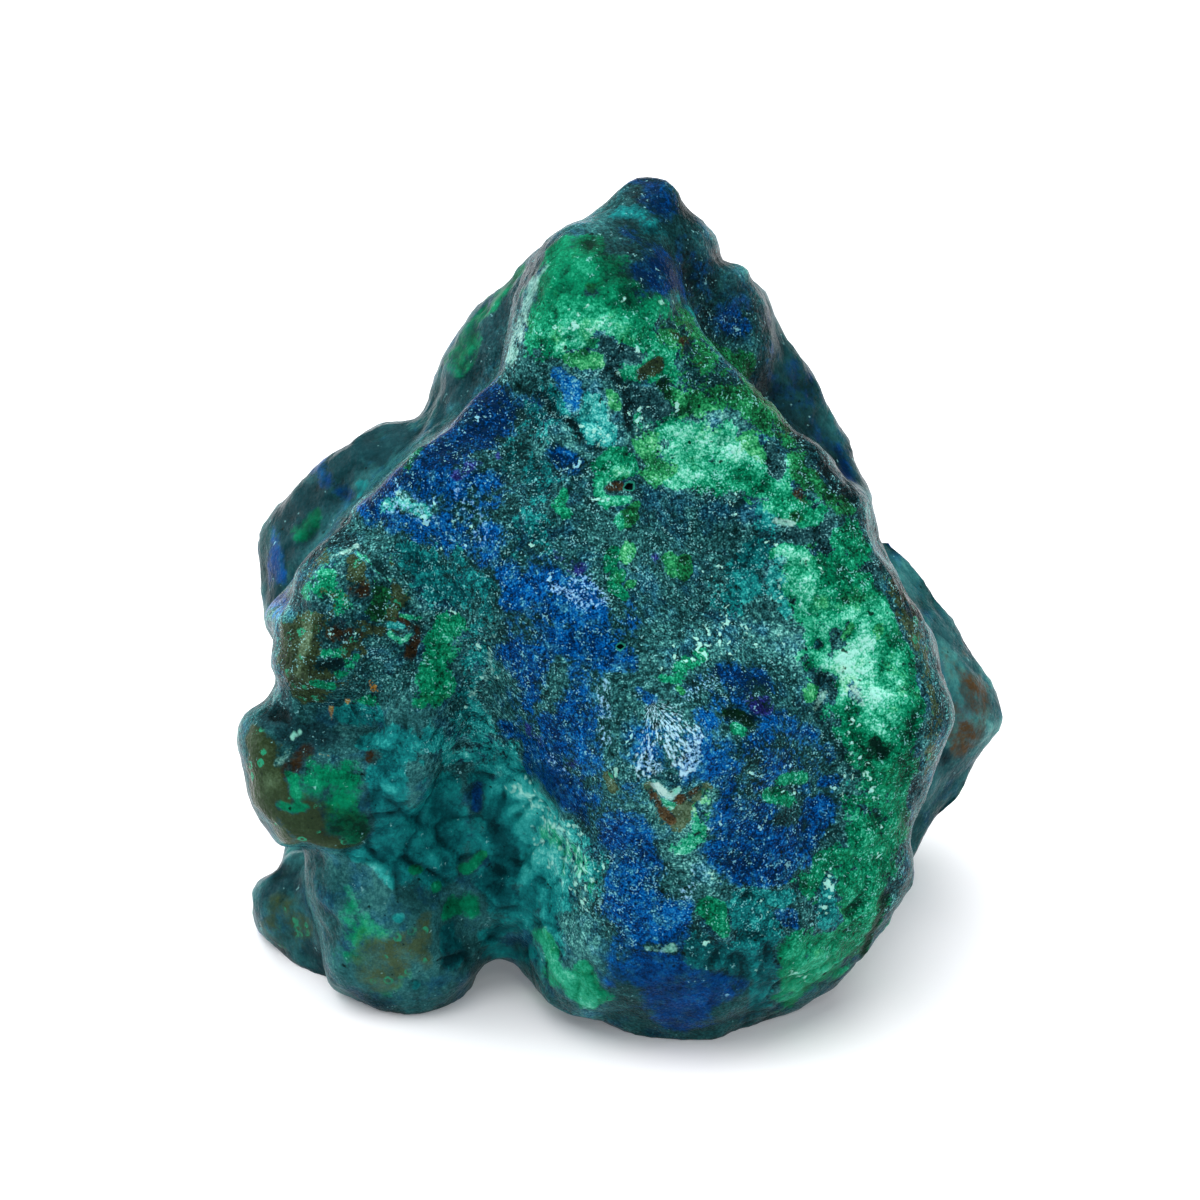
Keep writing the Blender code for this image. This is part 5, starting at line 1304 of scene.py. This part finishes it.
wander |= dict.fromkeys(("azurite", "umber", "violet"),
                        around(0.0, (edge_a, 2.0), (mottle, 1.2), (needle, 0.9)))
wander |= dict.fromkeys(("limonite", "ochre", "chalk"),
                        around(0.0, (edge_b, 1.0), (mottle, 1.0), (fine, 0.6)))
mask = {}
colour = slate_ground
for mineral in MINERALS:
    at_edge = add("MapRange", held[mineral], 0.02, 0.40)
    mask[mineral] = add("MapRange", total(held[mineral], (wander[mineral], at_edge)),
                        *(soft_edge if mineral in SOFT else crisp_edge))
    colour = lay(mask[mineral], colour, shade[mineral])
print("nodes so far:", len(tree.nodes))

# %% [markdown]
# The small things come last.  Malachite grows in little rings on the brown knobs.  Pale
# crystal ends, some of them painted glints, show as "flecks", with a finer painted sparkle
# ("spark"); sprays of needles get a painted sheen and the spreading fibres a painted
# highlight; pinholes are dark, low places get painted shade, and two pits get painted shade
# inside and a painted highlight round the rim.

# %% Rings on the knobs, pale crystal and painted glints, painted sheen and highlights, dark holes and painted shade
ring_at = add("TexVoronoi", mm, Scale=1.0 / 0.62, out="Distance")
picked = add("SeparateColor", ring_at.node.outputs["Color"])
ring_at = total(ring_at, (around(0.0, (fine, 0.5), (mottle, 0.8)), 1.0))
ring = product(add("MapRange", ring_at, 0.40, 0.34), add("MapRange", ring_at, 0.14, 0.22),
               add("MapRange", picked, 0.45, 0.55), add("MapRange", edge_b, 0.47, 0.55),
               mask["limonite"], 0.8)

# pale crystal ends, some of them painted glints
fleck = total(around(0.0, (speck, 2.4), (edge_b, 1.1), (fine, 0.5)), (held["flecks"], 0.62))
fleck = add("MapRange", fleck, total(0.86, (held["calm"], -0.20)), total(0.98, (held["calm"], 0.30)))
fleck_colour = lay(mask["azurite"], linear("#d4f4e4"), linear("#a8d0ee"))
# painted sparkle: tiny pale points
spark = add("MapRange", around(0.5, (dust, 1.5), (speck, 1.3), (edge_b, 1.0)), 0.84, 1.02, To_Max=0.5)

# painted sheen: pale highlights on the sprays of needles
glint = total(around(0.0, (needle, 2.6), (fine, 0.8)), (held["painted_sheen"], 0.5))
painted_sheen_share = product(add("MapRange", glint, 0.36, 0.66), add("MapRange", held["painted_sheen"], 0.05, 0.5),
                     around(0.62, (dust, 1.4), (fine, 1.2)))

# painted highlight along the fibres that spread from one place
fan_arm = add("VectorMath", mm, tuple(fan_place + PLAN_SHIFT), operation="SUBTRACT")
fan_length = add("VectorMath", fan_arm, operation="LENGTH", out="Value")
fibre = add("TexNoise", add("VectorMath", fan_arm, operation="NORMALIZE"), noise_dimensions="4D",
            W=product(fan_length, 0.22), Scale=17.0, Detail=1.0)
fan_glint_strand = total(around(0.0, (fibre, 3.4), (dust, 0.5)), (held["fan_glint"], 0.45))
fan_glint_strand = product(add("MapRange", fan_glint_strand, 0.36, 0.90), add("MapRange", held["fan_glint"], 0.05, 0.5), 0.95)

hole = add("MapRange", around(0.5, (speck, 1.3), (mottle, 1.3)), 0.18, 0.06, To_Max=0.9)
# painted shade in the low places
sunk_shade = add("MapRange", around(0.5, (standing_value, 1.0), (fine, 0.3)), 0.36, 0.12, To_Max=0.4)
# painted highlight round the rim of the two dark pits, then painted shade inside them
rim = add("MapRange", held["pit"], 0.14, 0.28, To_Max=0.6)
pit_shade = add("MapRange", held["pit"], 0.42, 0.56)
for share, above in ((ring, linear("#2f9a72")), (product(fleck, 0.85), fleck_colour),
                     (spark, linear("#b4dce0")), (painted_sheen_share, linear("#b9cdf2")),
                     (fan_glint_strand, linear("#dce6fa")), (hole, linear("#04140f")),
                     (sunk_shade, linear("#061a19")), (rim, linear("#3fae92")),
                     (pit_shade, linear("#020a0a"))):
    colour = lay(share, colour, above)
WET = (0.50, 0.80, 0.80, 1.0)   # a polished stone is darker and bluer than its dry powder
tree.links.new(lay(1.0, colour, WET, "MULTIPLY"), shader.inputs["Base Color"])
print("nodes so far:", len(tree.nodes))

# %% [markdown]
# Grit polishes the hard brown stain to glass, the blue and slate to satin, and leaves the
# softer greens duller.  The relief of single needles, a hundredth of a millimetre, is bump.

# %% Polish and the finest relief
gloss = around(0.34, (fine, 0.3), (mask["malachite"], 0.12), (mask["chrysocolla"], 0.16),
               (mask["limonite"], -0.16))
tree.links.new(gloss, shader.inputs["Roughness"])
# copper carbonate's own IOR is near 1.75, but a hazy tumbled skin reflects far less
shader.inputs["IOR"].default_value = 1.45
shader.inputs["Specular IOR Level"].default_value = 0.035
shader.inputs["Specular Tint"].default_value = (0.30, 0.75, 1.0, 1.0)
relief = around(0.5, (fine, 0.6), (mottle, 0.9), (grain, 0.5), (fleck, 0.3))
bump = add("Bump", Height=relief, Strength=0.9, Distance=0.12 * MM)
tree.links.new(bump, shader.inputs["Normal"])
stone.data.materials.append(rock)
print("rock material:", len(tree.nodes), "nodes")

# %% The stone stands for the plain solid
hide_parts("specimen")
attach(stone, "root")
print(stone.name, "stands for the solid specimen")

# %% [markdown]
# ## Table and light
#
# The stone stands on a plain white surface under broad soft light from above and behind, so
# its edges catch a thin pale line and its shadow is only a faint blue-grey.

# %% Floor and camera
bpy.ops.mesh.primitive_plane_add(size=3.0)
floor = bpy.context.object
floor.name = "table"
# coated card: white, matt, with a faint glow of its own, as in a room lit from all sides
paper = bpy.data.materials.new("matt_white_card")
paper.use_nodes = True
card = paper.node_tree.nodes["Principled BSDF"]
card.inputs["Base Color"].default_value = (0.86, 0.86, 0.88, 1.0)
card.inputs["Roughness"].default_value = 0.9
card.inputs["Emission Color"].default_value = (0.90, 0.94, 1.0, 1.0)
card.inputs["Emission Strength"].default_value = 0.15
floor.data.materials.append(paper)

FRAME_WIDTH = 56.64             # millimetres that the view spans at the face's middle
target = ORIGIN + PLAN_SHIFT
eye = target + EYE_DISTANCE * OUT
camera = bpy.data.objects.new("camera", bpy.data.cameras.new("camera"))
bpy.context.scene.collection.objects.link(camera)
camera.location = eye * MM
camera.rotation_euler = (radians(90.0) - LEAN, 0.0, 0.0)
camera.data.sensor_width = 36.0
camera.data.lens = 36.0 * EYE_DISTANCE / FRAME_WIDTH
camera.data.clip_start = 0.01
bpy.context.scene.camera = camera
print("camera", round(camera.data.lens), "mm lens at", EYE_DISTANCE, "mm")

# %% [markdown]
# A wide lamp overhead does nearly all the lighting.  A small one in front gives the face its
# few sharp glints, and a panel at either side draws the pale line along the edges.

# %% Lamps and the white room


def softbox(name, place, size, power, tint="#ffffff"):
    """A square lamp that faces the stone; place and size in millimetres, power in watts."""
    data = bpy.data.lights.new(name, "AREA")
    data.size = size * MM
    data.energy = power
    data.color = linear(tint)[:3]
    lamp = bpy.data.objects.new(name, data)
    bpy.context.scene.collection.objects.link(lamp)
    lamp.location = np.array(place) * MM
    aim = np.array([0.0, 0.0, FACE_HEIGHT]) - np.array(place)
    lamp.rotation_euler = Vector(aim).to_track_quat("-Z", "Y").to_euler()
    return lamp


softbox("overhead", (-70, 60, 420), 700, 5.2)
softbox("front", (25, -300, 290), 60, 0.10)
softbox("left_panel", (-420, 160, 110), 260, 0.8)
softbox("right_panel", (420, -60, 160), 300, 0.5)
world = bpy.data.worlds.new("white_room")
world.use_nodes = True
world.node_tree.nodes["Background"].inputs["Color"].default_value = (1.0, 1.0, 1.0, 1.0)
world.node_tree.nodes["Background"].inputs["Strength"].default_value = 0.30
bpy.context.scene.world = world
bpy.context.scene.view_settings.view_transform = "Standard"
